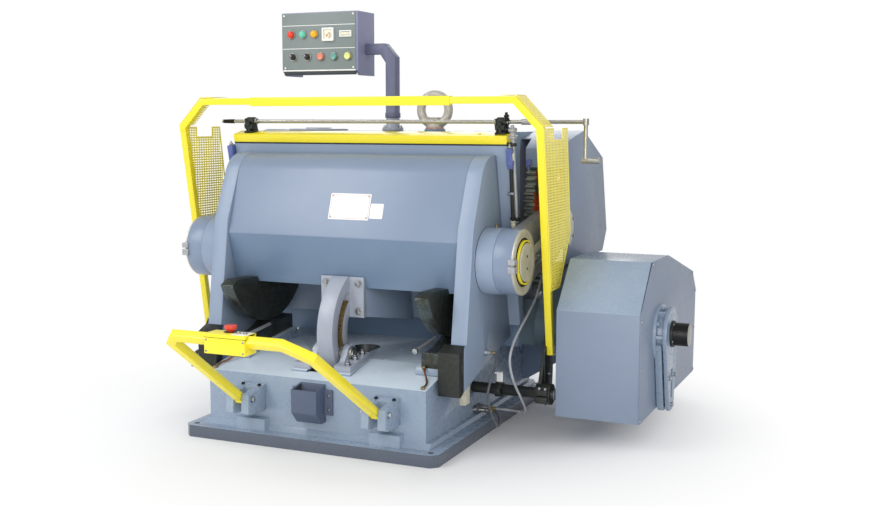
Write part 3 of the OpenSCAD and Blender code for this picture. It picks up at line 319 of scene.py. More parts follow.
boltSteel = metal("zincBoltSteel", tint(196, 198, 200), tint(150, 154, 158), 0.30, None, 0.08, 0.12,
                  tint(60, 56, 48))
castSteel = metal("bareCastSteel", tint(206, 201, 192), tint(176, 170, 160), 0.5, None, 0.5, 0.1,
                  tint(120, 108, 90), 0.35)
hubBronze = metal("oiledHubRing", tint(214, 212, 200), tint(190, 187, 174), 0.38, (1, 10, 10), 0.1, 0.15,
                  tint(110, 102, 82), 0.45)
brass = metal("oiledBrass", tint(178, 160, 116), tint(132, 114, 78), 0.3, None, 0.1, 0.3, tint(70, 58, 38),
              0.7)
copper = metal("copperPipe", tint(186, 124, 84), tint(140, 86, 54), 0.34, None, 0.08, 0.25,
               tint(60, 44, 28))
gearIron = metal("gearToothIron", tint(176, 180, 170), tint(128, 132, 122), 0.34, (1, 10, 10), 0.15, 0.4,
                 tint(46, 40, 28), 0.8)
gearOrange = paint("gearPrimerOrange", tint(206, 88, 44), tint(178, 66, 30), tint(60, 30, 16), 0.46, 0.2,
                   0.2, 0.45, 0)
copperWasher = metal("copperWasher", tint(222, 176, 158), tint(196, 150, 132), 0.42, None, 0.1, 0.15,
                     tint(120, 84, 60), 0.7)
hoseGrey = plastic("greyHoseSkin", tint(176, 178, 182), tint(140, 142, 147), 0.34)
hoseDark = plastic("darkHoseSkin", tint(92, 94, 98), tint(66, 68, 72), 0.36)
rubber = plastic("blackRubber", tint(40, 41, 43), tint(28, 29, 30), 0.6, 0.3)
blackPlastic = plastic("blackPlastic", tint(38, 38, 40), tint(26, 26, 28), 0.35)
whitePlastic = plastic("whitePlastic", tint(244, 244, 242), tint(232, 232, 228), 0.3)
creamPlastic = plastic("creamPlastic", tint(232, 228, 206), tint(214, 208, 184), 0.35)
switchBlue = plastic("blueSwitchShell", tint(98, 112, 170), tint(76, 90, 148), 0.38)
stopRed = plastic("stopRed", tint(226, 74, 58), tint(206, 54, 42), 0.3)
lampRed = plastic("lampRed", tint(226, 62, 40), tint(206, 44, 30), 0.18, 0, 0.05)
lampGreen = plastic("lampGreen", tint(112, 205, 176), tint(86, 186, 156), 0.18, 0, 0.05)
lampAmber = plastic("lampAmber", tint(250, 182, 24), tint(240, 160, 16), 0.18, 0, 0.05)
capRed = plastic("capRed", tint(232, 140, 118), tint(222, 120, 100), 0.3)
capGreen = plastic("capGreen", tint(112, 166, 156), tint(92, 150, 140), 0.3)
capYellow = plastic("capYellow", tint(232, 236, 150), tint(218, 222, 128), 0.3)
ruleRed = plastic("ratingRule", tint(196, 120, 110), tint(186, 108, 98), 0.4)


# ways of making a piece
def pickOnly(piece):
    bpy.ops.object.select_all(action="DESELECT")
    piece.select_set(True)
    bpy.context.view_layer.objects.active = piece


def settle(piece):
    pickOnly(piece)
    bpy.ops.object.transform_apply(location=True, rotation=True, scale=True)


def applyModifiers(piece):
    pickOnly(piece)
    for modifier in list(piece.modifiers):
        bpy.ops.object.modifier_apply(modifier=modifier.name)


def roundEdges(piece, width, segments=2, angle=30):
    bevel = piece.modifiers.new("roundedEdges", "BEVEL")
    bevel.width = width
    bevel.segments = segments
    bevel.limit_method = "ANGLE"
    bevel.angle_limit = radians(angle)
    applyModifiers(piece)


def smooth(piece, angle=35):
    pickOnly(piece)
    bpy.ops.object.shade_smooth_by_angle(angle=radians(angle))


def finishPiece(piece, name, material, body, node=None):
    piece.name = name
    piece.data.name = name
    piece.data.materials.clear()
    piece.data.materials.append(material)
    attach(piece, body)
    if node:
        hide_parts(node)
    return piece


def dress(node, material, edge=0.0, name=None, angle=32):
    # a rounded copy of a frame node, with the node's own shape and place
    original = frame["nodes"][node]
    pickOnly(original)
    bpy.ops.object.duplicate()
    piece = bpy.context.object
    bpy.ops.object.mode_set(mode="EDIT")
    bpy.ops.mesh.select_all(action="SELECT")
    bpy.ops.mesh.remove_doubles(threshold=0.00002)
    bpy.ops.mesh.dissolve_limited(angle_limit=radians(0.6))
    bpy.ops.object.mode_set(mode="OBJECT")
    if edge:
        roundEdges(piece, edge, 2, angle)
    smooth(piece)
    return finishPiece(piece, name or node + "_dressed", material, nodeBody[node], node)


def editMode(select="SELECT"):
    bpy.ops.object.mode_set(mode="EDIT")
    bpy.ops.mesh.select_all(action=select)


def objectMode():
    bpy.ops.object.mode_set(mode="OBJECT")


def clearPicks():
    bpy.ops.object.select_all(action="DESELECT")


facing = {
    "up": (0, 0, 0), "down": (pi, 0, 0), "front": (pi / 2, 0, 0), "back": (-pi / 2, 0, 0),
    "right": (0, pi / 2, 0), "left": (0, -pi / 2, 0),
}


def aim(piece, place, way):
    # turns a piece made on +Z towards a named side or a direction, and puts it in place (mm)
    piece.rotation_mode = "XYZ"
    if isinstance(way, str):
        piece.rotation_euler = facing[way]
    else:
        piece.rotation_euler = Vector(way).to_track_quat("Z", "Y").to_euler()
    piece.location = Vector(place) * mm
    settle(piece)
    return piece


def turned(rings, sides=48, edge=0.0, place=(0, 0, 0), way="up", hollow=False):
    # a turned part: a disc drawn out ring by ring, each ring given as (height, radius) in mm;
    # a hollow one starts as an open circle and closes on its first ring
    clearPicks()
    height, radius = rings[0]
    bpy.ops.mesh.primitive_circle_add(
        vertices=sides, radius=radius * mm, fill_type="NOTHING" if hollow else "NGON",
        location=(0, 0, height * mm))
    piece = bpy.context.object
    settle(piece)
    editMode()
    if hollow:
        bpy.ops.mesh.select_mode(type="EDGE")
        bpy.ops.mesh.select_all(action="SELECT")
    for nextHeight, nextRadius in rings[1:] + (rings[:1] if hollow else []):
        rise = (nextHeight - height) * mm
        bpy.ops.mesh.extrude_region_move(TRANSFORM_OT_translate={"value": (0, 0, rise)})
        k = nextRadius / radius
        bpy.ops.transform.resize(value=(k, k, 1), center_override=(0, 0, nextHeight * mm))
        height, radius = nextHeight, nextRadius
    bpy.ops.mesh.select_all(action="SELECT")
    bpy.ops.mesh.remove_doubles(threshold=0.000005)
    bpy.ops.mesh.normals_make_consistent(inside=False)
    bpy.ops.mesh.select_mode(type="FACE")
    objectMode()
    if edge:
        roundEdges(piece, edge * mm, 2, 25)
    smooth(piece, 40)
    return aim(piece, place, way)


def block(low, high, edge=1.0, taper=None):
    # a rounded block between two corners (mm); taper=(axis, side, shareX, shareY, shareZ) narrows one end
    clearPicks()
    low, high = Vector(low), Vector(high)
    bpy.ops.mesh.primitive_cube_add(size=1, location=(low + high) / 2 * mm)
    piece = bpy.context.object
    piece.scale = (high - low) * mm
    settle(piece)
    if taper:
        axis, side, *share = taper
        centre = (low + high) / 2 * mm
        editMode("DESELECT")
        objectMode()
        for face in piece.data.polygons:
            face.select = face.normal[axis] * side > 0.9
        bpy.ops.object.mode_set(mode="EDIT")
        bpy.ops.transform.resize(value=share, center_override=centre)
        objectMode()
    if edge:
        roundEdges(piece, edge * mm, 3, 25)
    smooth(piece)
    return piece


def plate(outline, start, end, plane="YZ", edge=1.0, holes=()):
    # a flat outline (mm) drawn out between two places on the third axis, with rounded edges
    clearPicks()
    drawing = bpy.data.curves.new("plateOutline", "CURVE")
    drawing.dimensions = "2D"
    drawing.fill_mode = "BOTH"
    for line in (outline, *holes):
        spline = drawing.splines.new("POLY")
        spline.points.add(len(line) - 1)
        for point, (a, b) in zip(spline.points, line):
            point.co = (a * mm, b * mm, 0, 1)
        spline.use_cyclic_u = True
    drawing.extrude = ((end - start) / 2 - edge) * mm
    drawing.bevel_depth = edge * mm
    drawing.bevel_resolution = 1
    drawing.offset = -edge * mm
    piece = bpy.data.objects.new("plateOutline", drawing)
    bpy.context.collection.objects.link(piece)
    pickOnly(piece)
    bpy.ops.object.convert(target="MESH")
    piece = bpy.context.object
    middle = (start + end) / 2 * mm
    axes = {
        "YZ": Matrix(((0, 0, 1, middle), (1, 0, 0, 0), (0, 1, 0, 0), (0, 0, 0, 1))),
        "XZ": Matrix(((1, 0, 0, 0), (0, 0, -1, middle), (0, 1, 0, 0), (0, 0, 0, 1))),
        "XY": Matrix(((1, 0, 0, 0), (0, 1, 0, 0), (0, 0, 1, middle), (0, 0, 0, 1))),
    }[plane]
    piece.matrix_world = axes
    settle(piece)
    editMode()
    bpy.ops.mesh.remove_doubles(threshold=0.00001)
    bpy.ops.mesh.normals_make_consistent(inside=False)
    objectMode()
    smooth(piece)
    return piece


def arcPoints(centre, radius, start, end, steps):
    return [(centre[0] + radius * cos(radians(start + (end - start) * i / steps)),
             centre[1] + radius * sin(radians(start + (end - start) * i / steps))) for i in range(steps + 1)]


def tube(points, radius, sides=3, close=True):
    # a round bar or pipe through points (mm), with smooth bends
    clearPicks()
    line = bpy.data.curves.new("pipeLine", "CURVE")
    line.dimensions = "3D"
    spline = line.splines.new("POLY")
    spline.points.add(len(points) - 1)
    for point, place in zip(spline.points, points):
        point.co = (*(Vector(place) * mm), 1)
    line.bevel_depth = radius * mm
    line.bevel_resolution = sides
    line.use_fill_caps = close
    piece = bpy.data.objects.new("pipeLine", line)
    bpy.context.collection.objects.link(piece)
    pickOnly(piece)
    bpy.ops.object.convert(target="MESH")
    piece = bpy.context.object
    editMode()
    bpy.ops.mesh.remove_doubles(threshold=0.00001)
    bpy.ops.mesh.normals_make_consistent(inside=False)
    objectMode()
    smooth(piece, 50)
    return piece


def softLine(points, steps=6):
    # a smooth line through points
    line = []
    for i in range(len(points) - 1):
        a, b, c, d = (Vector(points[min(max(k, 0), len(points) - 1)]) for k in (i - 1, i, i + 1, i + 2))
        for k in range(steps):
            t = k / steps
            line.append(0.5 * (2 * b + (c - a) * t + (2 * a - 5 * b + 4 * c - d) * t * t
                               + (3 * b - a - 3 * c + d) * t ** 3))
    return line + [Vector(points[-1])]


def joined(pieces):
    clearPicks()
    for piece in pieces:
        piece.select_set(True)
    bpy.context.view_layer.objects.active = pieces[0]
    if len(pieces) > 1:
        bpy.ops.object.join()
    return bpy.context.object


def copied(piece, shift=(0, 0, 0)):
    pickOnly(piece)
    bpy.ops.object.duplicate()
    twin = bpy.context.object
    twin.location = Vector(shift) * mm
    settle(twin)
    return twin


def leaned(piece):
    # from the platen's upright frame (about the rolling line) to where it rests
    piece.rotation_euler = (radians(platenLean["lean"]), 0, 0)
    piece.location = (0, platenLean["rollY"] * mm, platenLean["rollZ"] * mm)
    settle(piece)
    return piece


platenLean = {"lean": 13, "rollY": -225, "rollZ": 425}


def hexBolt(size, reach=0.0):
    # a hexagon head on a washer, across-flats size in mm, made on +Z
    washer = turned([(0, size * 0.72), (size * 0.12, size * 0.72)], 32, 0.3)
    head = turned([(size * 0.12, size * 0.577), (size * 0.6, size * 0.577), (size * 0.7, size * 0.5)], 6,
                  0.35)
    parts = [washer, head]
    if reach:
        parts.append(turned([(size * 0.7, size * 0.28), (size * 0.7 + reach, size * 0.28),
                             (size * 0.76 + reach, size * 0.22)], 20, 0.2))
    return joined(parts)


def roundScrew(size):
    # a domed screw head with its drive recess
    return turned([(0, size * 0.5), (size * 0.16, size * 0.5), (size * 0.28, size * 0.4),
                   (size * 0.34, size * 0.26),
                   (size * 0.34, size * 0.2), (size * 0.2, size * 0.17)], 24, 0.0)


def spread(maker, places, way, name, material, body):
    # one fastener modelled once and copied to each place
    parts = []
    for place in places:
        pickOnly(maker)
        bpy.ops.object.duplicate()
        parts.append(aim(bpy.context.object, place, way))
    bpy.data.objects.remove(maker)
    return finishPiece(joined(parts), name, material, body)


def span(side, near, far):
    # two distances from the middle as low and high X on the given side
    return sorted((side * near, side * far))


def bolts(size, spots, way, name, body):
    spread(hexBolt(size), spots, way, name, boltSteel, body)


def regionFinish(piece, material, test):
    # gives the faces that pass the test a second finish; the test takes centre (mm) and normal
    piece.data.materials.append(material)
    index = len(piece.data.materials) - 1
    for face in piece.data.polygons:
        if test(face.center / mm, face.normal):
            face.material_index = index
    return piece


print("frame nodes")
nodeFinish = {
    "base": (baseBlue, 3), "bed": (bodyBlue, 3), "rocker_rails": (railIron,
        1.5), "guide_bracket": (paleGrey, 2),
    "front_pocket": (pocketCoat, 1), "bar_blocks": (baseBlue, 2),
    "gear_guard_right": (coverBlue, 1.5), "gear_guard_left": (coverBlue,
        1.5), "flywheel_cover": (coverBlue, 1.5),
    "cover_bearing": (baseBlue, 2), "brake_arm": (baseBlue, 1.5), "chase": (bodyBlue, 1),
    "top_cap": (paleGrey, 2), "mast_socket": (paleGrey, 2), "crank_bushes": (brass, 1),
    "motor": (motorGreen, 1.5), "motor_bracket": (bodyBlue, 2), "gearbox": (motorGreen, 2),
    "limit_switch": (creamPlastic, 1), "base_gland": (steel, 0.5), "platen_plate": (litBodyBlue, 2),
    "platen_housing": (bodyBlue, 4), "platen_cheeks": (litBodyBlue, 3), "foot_pads": (blackIron, 1),
    "rocker_sectors": (rockerIron, 2), "guide_arm": (paleGrey, 3), "guide_block": (litBodyBlue, 3),
    "arm_bolts": (boltSteel, 0.6), "trim_strip": (safetyYellow, 1.5), "trunnion_pins": (steel, 1),
    "rod_brackets": (blackIron, 1), "top_rod": (steel, 0),
    "rod_right": (rodSteel, 1.5), "rod_left": (rodSteel, 1.5), "crankshaft": (steel, 1),
    "crank_gears": (gearOrange, 0), "pinion_shaft": (gearIron, 0), "flywheel": (blackIron, 1.5),
    "flywheel_shaft": (darkSteel, 1), "motor_pulley": (blackIron, 1), "drive_belts": (rubber, 0),
    "guard_arch": (safetyYellow, 2), "guard_shaft": (blackIron, 1),
    "safety_bar": (safetyYellow, 2), "estop_box": (safetyYellow, 2), "estop_button": (stopRed, 1),
    "mast": (mastCoat, 1.5), "panel_box": (violetCoat, 1.5),
}
dressed = {node: dress(node, material, edge * mm) for node, (material, edge) in nodeFinish.items()}


print("trunnion hubs")
hub = {
    "y": -225, "z": 735, "face": 747, "rim": 131, "ringInner": 97,
    "seam": 598,
}


def addHub(side):
    s = {"right": 1, "left": -1}[side]
    way = side

    def at(x):
        return (s * x, hub["y"], hub["z"])
    # machined ring with a stepped face, then the dark inner ring and its thin painted line
    ring = turned([(0, hub["rim"]), (5, hub["rim"]), (8, hub["rim"] - 4), (8, 112), (5, 110),
                   (5, hub["ringInner"]),
                   (0, hub["ringInner"])], 96, 0.6, at(hub["face"]), way, True)
    finishPiece(ring, f"hubRing_{side}", hubBronze, f"rod_{side}")
    collar = turned([(0, hub["ringInner"] - 0.5), (5, hub["ringInner"] - 0.5), (7, 94), (7, 90), (4, 88),
                     (0, 88)],
                    96, 0.5, at(hub["face"]), way, True)
    finishPiece(collar, f"hubCollar_{side}", darkSteel, f"rod_{side}")
    line = turned([(2, 87.5), (15, 87.5), (15, 82), (2, 82)], 96, 0.5, at(hub["face"]), way, True)
    finishPiece(line, f"hubSealRing_{side}", safetyYellow, f"rod_{side}")
    # end disc of the trunnion with two draw holes
    disc = turned([(14, 77), (18, 77), (20, 75), (20, 70), (19, 69), (19, 40)], 96, 0.4, at(hub["face"]),
                  way)
    finishPiece(disc, f"trunnionDisc_{side}", hubBronze, "platen")
    holes = []
    for lift in (-24, 24):
        holes.append(turned([(19.2, 6), (19.8, 6), (19.8, 4.4), (14, 4.4)], 24, 0.2,
                            (s * hub["face"], hub["y"], hub["z"] + lift), way))
    finishPiece(joined(holes), f"trunnionDrawHoles_{side}", darkSteel, "platen")
    # clamp block with its bolt, on the ring's lower front
    x0, x1 = span(s, hub["face"] - 12, hub["face"] + 17)
    clamp = joined([block((x0, hub["y"] - 140, hub["z"] - 30), (x1, hub["y"] - 98, hub["z"] - 3), 2.5),
                    block((x0, hub["y"] - 140, hub["z"] + 3), (x1, hub["y"] - 98, hub["z"] + 24), 2.5)])
    finishPiece(clamp, f"hubClamp_{side}", rodSteel, f"rod_{side}")
    bolts(12, [(s * (hub["face"] + 3), hub["y"] - 120, hub["z"] + 24)], "up", f"hubClampBolt_{side}",
          f"rod_{side}")
    # strap along the rod's outer face, with two bolts by the hub
    run = Vector((619, 129)).normalized()
    across = Vector((-run.y, run.x))
    outline = [Vector((hub["y"], hub["z"])) + run * a + across * b for a,
               b in ((138, -20), (470, -16), (470, 16), (138, 20))]
    x0, x1 = span(s, 740, 744)
    finishPiece(plate([tuple(point) for point in outline], x0, x1, "YZ", 1), f"rodStrap_{side}", hubBronze,
                f"rod_{side}")
    spots = [(s * 740, *(Vector((hub["y"], hub["z"])) + run * a - across * 34)) for a in (152, 186)]
    bolts(17, spots, way, f"rodStrapBolts_{side}", f"rod_{side}")
    # parting line round the cheek's boss, and a grease nipple on top
    seam = turned([(0, 132.6), (2.2, 132.6), (2.2, 130.5), (0, 130.5)], 96, 0, at(hub["seam"]), way, True)
    finishPiece(seam, f"bossSeam_{side}", darkSteel, "platen")
    nipple = turned([(0, 6), (5, 6), (5, 4), (9, 4), (11, 2.5), (13, 3.2), (15, 1.8)], 20, 0.2,
                    (s * 640, hub["y"] - 8, hub["z"] + 131.5), "up")
    finishPiece(nipple, f"bossNipple_{side}", brass, "platen")


addHub("right")
addHub("left")


print("guard sheets")
sheet = {"x": 836, "cellAlong": 18, "cellUp": 11, "web": 2.8}
sheetOutline = [(-144, 613), (-28, 613), (108, 826), (47, 1256), (-258, 1256)]


def inside(a, b, outline):
    hit = False
    for (a0, b0), (a1, b1) in zip(outline, outline[1:] + outline[:1]):
        if (b0 > b) != (b1 > b) and a < (a1 - a0) * (b - b0) / (b1 - b0) + a0:
            hit = not hit
    return hit


def perforated(lowA, highA, lowB, highB, along, up, keep, place):
    # a sheet of small slots: a grid whose cells are inset and emptied, kept where the outline holds it
    clearPicks()
    countA, countB = int((highA - lowA) / along), int((highB - lowB) / up)
    bpy.ops.mesh.primitive_grid_add(x_subdivisions=countA, y_subdivisions=countB, size=1)
    piece = bpy.context.object
    piece.scale = (countA * along * mm, countB * up * mm, 1)
    piece.location = ((lowA + countA * along / 2) * mm, (lowB + countB * up / 2) * mm, 0)
    settle(piece)
    for face in piece.data.polygons:
        face.select = not keep(face.center.x / mm, face.center.y / mm)
    bpy.ops.object.mode_set(mode="EDIT")
    bpy.ops.mesh.delete(type="FACE")
    bpy.ops.mesh.select_all(action="SELECT")
    bpy.ops.mesh.inset(thickness=sheet["web"] * mm, use_individual=True)
    bpy.ops.mesh.delete(type="FACE")
    objectMode()
    piece.matrix_world = place
    settle(piece)
    return piece


def addGuardSheets(side):
    s = {"right": 1, "left": -1}[side]
    border = 9

    def inField(a, b):
        away = all(inside(a + da, b + db, sheetOutline) for da in (-border, border) for db in (-border,
            border))
        return away and not (-142 < a < -10 and b > 1202)
    # columns of the matrix send the sheet's own axes to Y and Z, at the bar's outer face
    mesh = perforated(-262, 112, 613, 1256, sheet["cellAlong"], sheet["cellUp"], inField,
                      Matrix(((0, 0, 1, s * (sheet["x"] + 1.5) * mm), (1, 0, 0, 0), (0, 1, 0, 0),
                              (0, 0, 0, 1))))
    thicken = mesh.modifiers.new("thickness", "SOLIDIFY")
    thicken.thickness = 2 * mm
    thicken.offset = 0
    applyModifiers(mesh)
    # solid border round the slots, open at the notch for the top rod
    x0, x1 = span(s, sheet["x"], sheet["x"] + 3)
    outer = [(-144, 613), (-28, 613), (108, 826), (47, 1256), (-20, 1256), (-20, 1212), (-132, 1212),
             (-132, 1256), (-258, 1256)]
    inner = [(-136, 622), (-33, 622), (99, 828), (39, 1247), (-11, 1247), (-11, 1203), (-141, 1203),
             (-141, 1247), (-246, 1247)]
    border = plate(outer, x0, x1, "YZ", 0.6, [inner])
    # the folded upper sheet: on the bar's slope in front of the notch, then a little way along the top
    parts = [mesh, border, foldedFlap(s, (841, 1262), (727, 1383)), foldedFlap(s, (727, 1384), (655, 1384))]
    piece = finishPiece(joined(parts), f"guardSheet_{side}", meshYellow, "arch")
    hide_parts("guard_mesh")


def foldedFlap(s, foot, top):
    # slotted sheet between two places (x, z) of the arch's corner
    foot, top = Vector(foot), Vector(top)
    run = (top - foot).length
    along = (top - foot) / run
    flap = perforated(-258, -133, 0, run, sheet["cellAlong"], sheet["cellUp"], lambda a, b: True,
                      Matrix.Identity(4))
    thicken = flap.modifiers.new("thickness", "SOLIDIFY")
    thicken.thickness = 2 * mm
    thicken.offset = 0
    applyModifiers(flap)
    # the flap's own axes: its length goes to Y, its height up the slope, its thickness outwards
    flap.matrix_world = Matrix((
        (0, s * along.x, s * along.y, s * foot.x * mm), (1, 0, 0, 0), (0, along.y, -along.x,
            foot.y * mm), (0, 0, 0, 1)))
    settle(flap)
    return flap


addGuardSheets("right")
addGuardSheets("left")


print("control panel")
panel = {"x": -513, "width": 383, "z": 1482, "height": 278, "front": 77, "face": 83}


def faceX(k):
    return panel["x"] + panel["width"] * k


def faceZ(k):
    return panel["z"] + panel["height"] * k


def roundedOutline(lowA, lowB, highA, highB, radius, steps=5):
    corners = ((highA - radius, lowB + radius, -90), (highA - radius, highB - radius, 0),
               (lowA + radius, highB - radius, 90), (lowA + radius, lowB + radius, 180))
    return [point for a, b, start in corners for point in arcPoints((a, b), radius, start, start + 90,
        steps)]


def addPanel():
    front = panel["front"]
    # engraved front plate between the side covers, with two ruled lines and, below, its polished edge drawn
    # as a white strip of painted highlight over a dark block of painted shade
    facePlate = plate(roundedOutline(faceX(0) + 2, faceZ(0) + 26, faceX(1) - 9, faceZ(1) - 3, 3), 74, 78,
                      "XZ", 0.8)
    finishPiece(facePlate, "panelFacePlate", faceGrey, "mast")
    rules = [block((faceX(0) + 6, front - 4, z - 1.3), (faceX(1) - 12, front - 2, z + 1.3), 0.3)
             for z in (faceZ(0.795), faceZ(0.43))]
    finishPiece(joined(rules), "panelRuledLines", whitePlastic, "mast")
    # white strip along the lower edge: a painted highlight
    lip = block((faceX(0) + 4, front - 4, faceZ(0) + 20), (faceX(1) - 10, front + 1, faceZ(0) + 26), 0.8)
    finishPiece(lip, "panelHighlightStrip", whitePlastic, "mast")
    # dark block under the edge: painted shade
    under = block((faceX(0) + 9, front + 1, faceZ(0) + 3), (faceX(1) - 10, front + 8, faceZ(0) + 20), 0.8)
    finishPiece(under, "panelShadeUnderside", shadowDark, "mast")
    screws = [(faceX(a), front - 3, faceZ(b)) for a,
              b in ((0.035, 0.955), (0.945, 0.955), (0.045, 0.125), (0.945, 0.125))]
    spread(roundScrew(9), screws, "front", "panelCornerScrews", whitePlastic, "mast")
    # signal lamps: a chromed bezel and a domed lens
    for share, lens, name in ((0.13, lampRed, "Red"), (0.285, lampGreen, "Green"),
                              (0.44, lampAmber, "Amber")):
        at = (faceX(share), front - 3, faceZ(0.655))
        bezel = turned([(0, 20), (3, 20), (5, 18.4), (5, 16.4), (0, 16.4)], 48, 0.3, at, "front", True)
        finishPiece(bezel, f"lampBezel{name}", steel, "mast")
        dome = turned([(0, 16.4), (8, 16.2), (12.5, 14.6), (15.6, 11.4), (17.2, 6.6), (17.6, 1.8)], 48, 0,
                      at, "front")
        finishPiece(dome, f"lampLens{name}", lens, "mast", "panel_lamps")
    # pressure meter: a white case with a shadowed window and a plain scale plate behind it
    x, z = faceX(0.625), faceZ(0.645)
    case = plate(roundedOutline(x - 29, z - 29, x + 29, z + 29, 4), 63, 75, "XZ", 1.6,
                 [roundedOutline(x - 22, z - 19, x + 22, z + 22, 3)])
    finishPiece(case, "meterCase", whitePlastic, "mast")
    card = block((x - 23, front - 7, z - 20), (x + 23, front - 3, z + 23), 0.5)
    finishPiece(card, "meterCard", creamPlastic, "mast")
    dial = plate(arcPoints((x - 6, z - 4), 17, -58, 58, 16) + arcPoints((x - 6, z - 4), 15.6, 58, -58, 16),
                 69, 70, "XZ", 0.1)
    finishPiece(dial, "meterScaleArc", blackPlastic, "mast")
    hand = joined([plate([(x - 8, z - 5), (x + 7, z + 8), (x + 7.6, z + 7.4), (x - 6.6, z - 6.6)], 67.6,
                         68.4, "XZ", 0.1),
                   turned([(0, 3.4), (1.6, 3.4), (2.4, 2.2)], 20, 0.2, (x - 7, front - 6.8, z - 5.6),
                          "front")])
    finishPiece(hand, "meterHand", stopRed, "mast")
    # counter: a slim white bezel round a recessed window of blank wheels
    x, z = faceX(0.85), faceZ(0.65)
    bezel = plate(roundedOutline(x - 29, z - 14, x + 29, z + 14, 2), 67, 75, "XZ", 1,
                  [roundedOutline(x - 24, z - 9, x + 24, z + 9, 1.5)])
    finishPiece(bezel, "counterBezel", whitePlastic, "mast")
    wheels = [turned([(0, 8.6), (0.4, 9), (7.4, 9), (7.8, 8.6)], 32, 0, (x - 24 + 8 * i, front + 1, z),
                     "right")
              for i in range(6)]
    finishPiece(joined(wheels), "counterWheels", creamPlastic, "mast")
    # knobs and caps
    for i, body in enumerate(("selector_left", "selector_right")):
        cx = faceX((0.155, 0.345)[i])
        cz = faceZ(0.30)
        bezel = turned([(0, 19.5), (3, 19.5), (5, 17.6), (5, 15), (0, 15)], 48, 0.3, (cx, front - 3, cz),
                       "front", True)
        finishPiece(bezel, f"selectorBezel_{i}", steel, "mast")
        skirt = turned([(5.4, 14.4), (9, 14.4), (10.5, 13), (10.5, 4)], 40, 0.3, (cx, front - 1, cz),
                       "front")
        grip = block((-4.4, -13.5, 10), (4.4, 13.5, 20), 1.6)
        grip.rotation_euler = (0, 0, radians(45))
        settle(grip)
        grip.rotation_euler = facing["front"]
        grip.location = Vector((cx, front - 1, cz)) * mm
        settle(grip)
        mark = block((-1, 2, 19.8), (1, 13, 20.6), 0.2)
        mark.rotation_euler = (0, 0, radians(45))
        settle(mark)
        mark.rotation_euler = facing["front"]
        mark.location = Vector((cx, front - 1, cz)) * mm
        settle(mark)
        finishPiece(joined([skirt, grip]), f"{body}_knob", blackPlastic, body, body)
        finishPiece(mark, f"{body}_mark", whitePlastic, body)
    for share, cap, body in ((0.525, capRed, "button_red"), (0.70, capGreen, "button_green"),
                             (0.88, capYellow, "button_yellow")):
        at = (faceX(share), front - 3, faceZ(0.30))
        bezel = turned([(0, 20), (3, 20), (6, 18), (6, 15.6), (0, 15.6)], 48, 0.3, at, "front", True)
        finishPiece(bezel, f"{body}_bezel", steel, "mast")
        top = turned([(6.4, 15), (12, 15), (14, 14), (14.6, 12), (13.6, 10), (13.2, 3)], 48, 0.2, at,
                     "front")
        finishPiece(top, f"{body}_cap", cap, body, body)


addPanel()


print("eye bolt")
eyeBolt = {"x": 195, "y": 175, "seat": 1237, "ringZ": 1331, "ringRadius": 65, "bar": 19}


def addEyeBolt():
    e = eyeBolt
    clearPicks()
    bpy.ops.mesh.primitive_torus_add(major_segments=72, minor_segments=28,
                                     major_radius=e["ringRadius"] * mm,
                                     minor_radius=e["bar"] * mm, rotation=(pi / 2, 0, 0),
                                     location=(e["x"] * mm, e["y"] * mm, e["ringZ"] * mm))
    ring = bpy.context.object
    settle(ring)
    # the cast ring swells towards its foot
    editMode("DESELECT")
    objectMode()
    for corner in ring.data.vertices:
        drop = max(0.0, (e["ringZ"] - 20) * mm - corner.co.z) / 0.07
        corner.co.y = e["y"] * mm + (corner.co.y - e["y"] * mm) * (1 + 0.32 * min(1, drop))
    neck = turned([(0, 38), (3, 38), (7, 34), (18, 29), (34, 27), (44, 30)], 48, 0.6,
                  (e["x"], e["y"], e["seat"] + 17), "up")
    piece = joined([ring, neck])
    smooth(piece, 60)
    finishPiece(piece, "eyeBoltRing", castSteel, "frame", "eye_bolt")
    washer = turned([(0, 41), (5, 41), (6.5, 39.6)], 64, 0.4, (e["x"], e["y"], e["seat"] + 11), "up")
    finishPiece(washer, "eyeBoltWasher", copperWasher, "frame")
    boss = turned([(0, 46), (9, 46), (11, 44), (11, 30)], 64, 0.5, (e["x"], e["y"], e["seat"]), "up")
    finishPiece(boss, "eyeBoltBoss", bodyBlue, "frame")


addEyeBolt()

print("painted and bare faces")
trunnion, crankAxis, rollLine = (-225, 735), (319, 945), (-225, 425)


def fromAxis(centre, axis):
    return ((centre.y - axis[0]) ** 2 + (centre.z - axis[1]) ** 2) ** 0.5


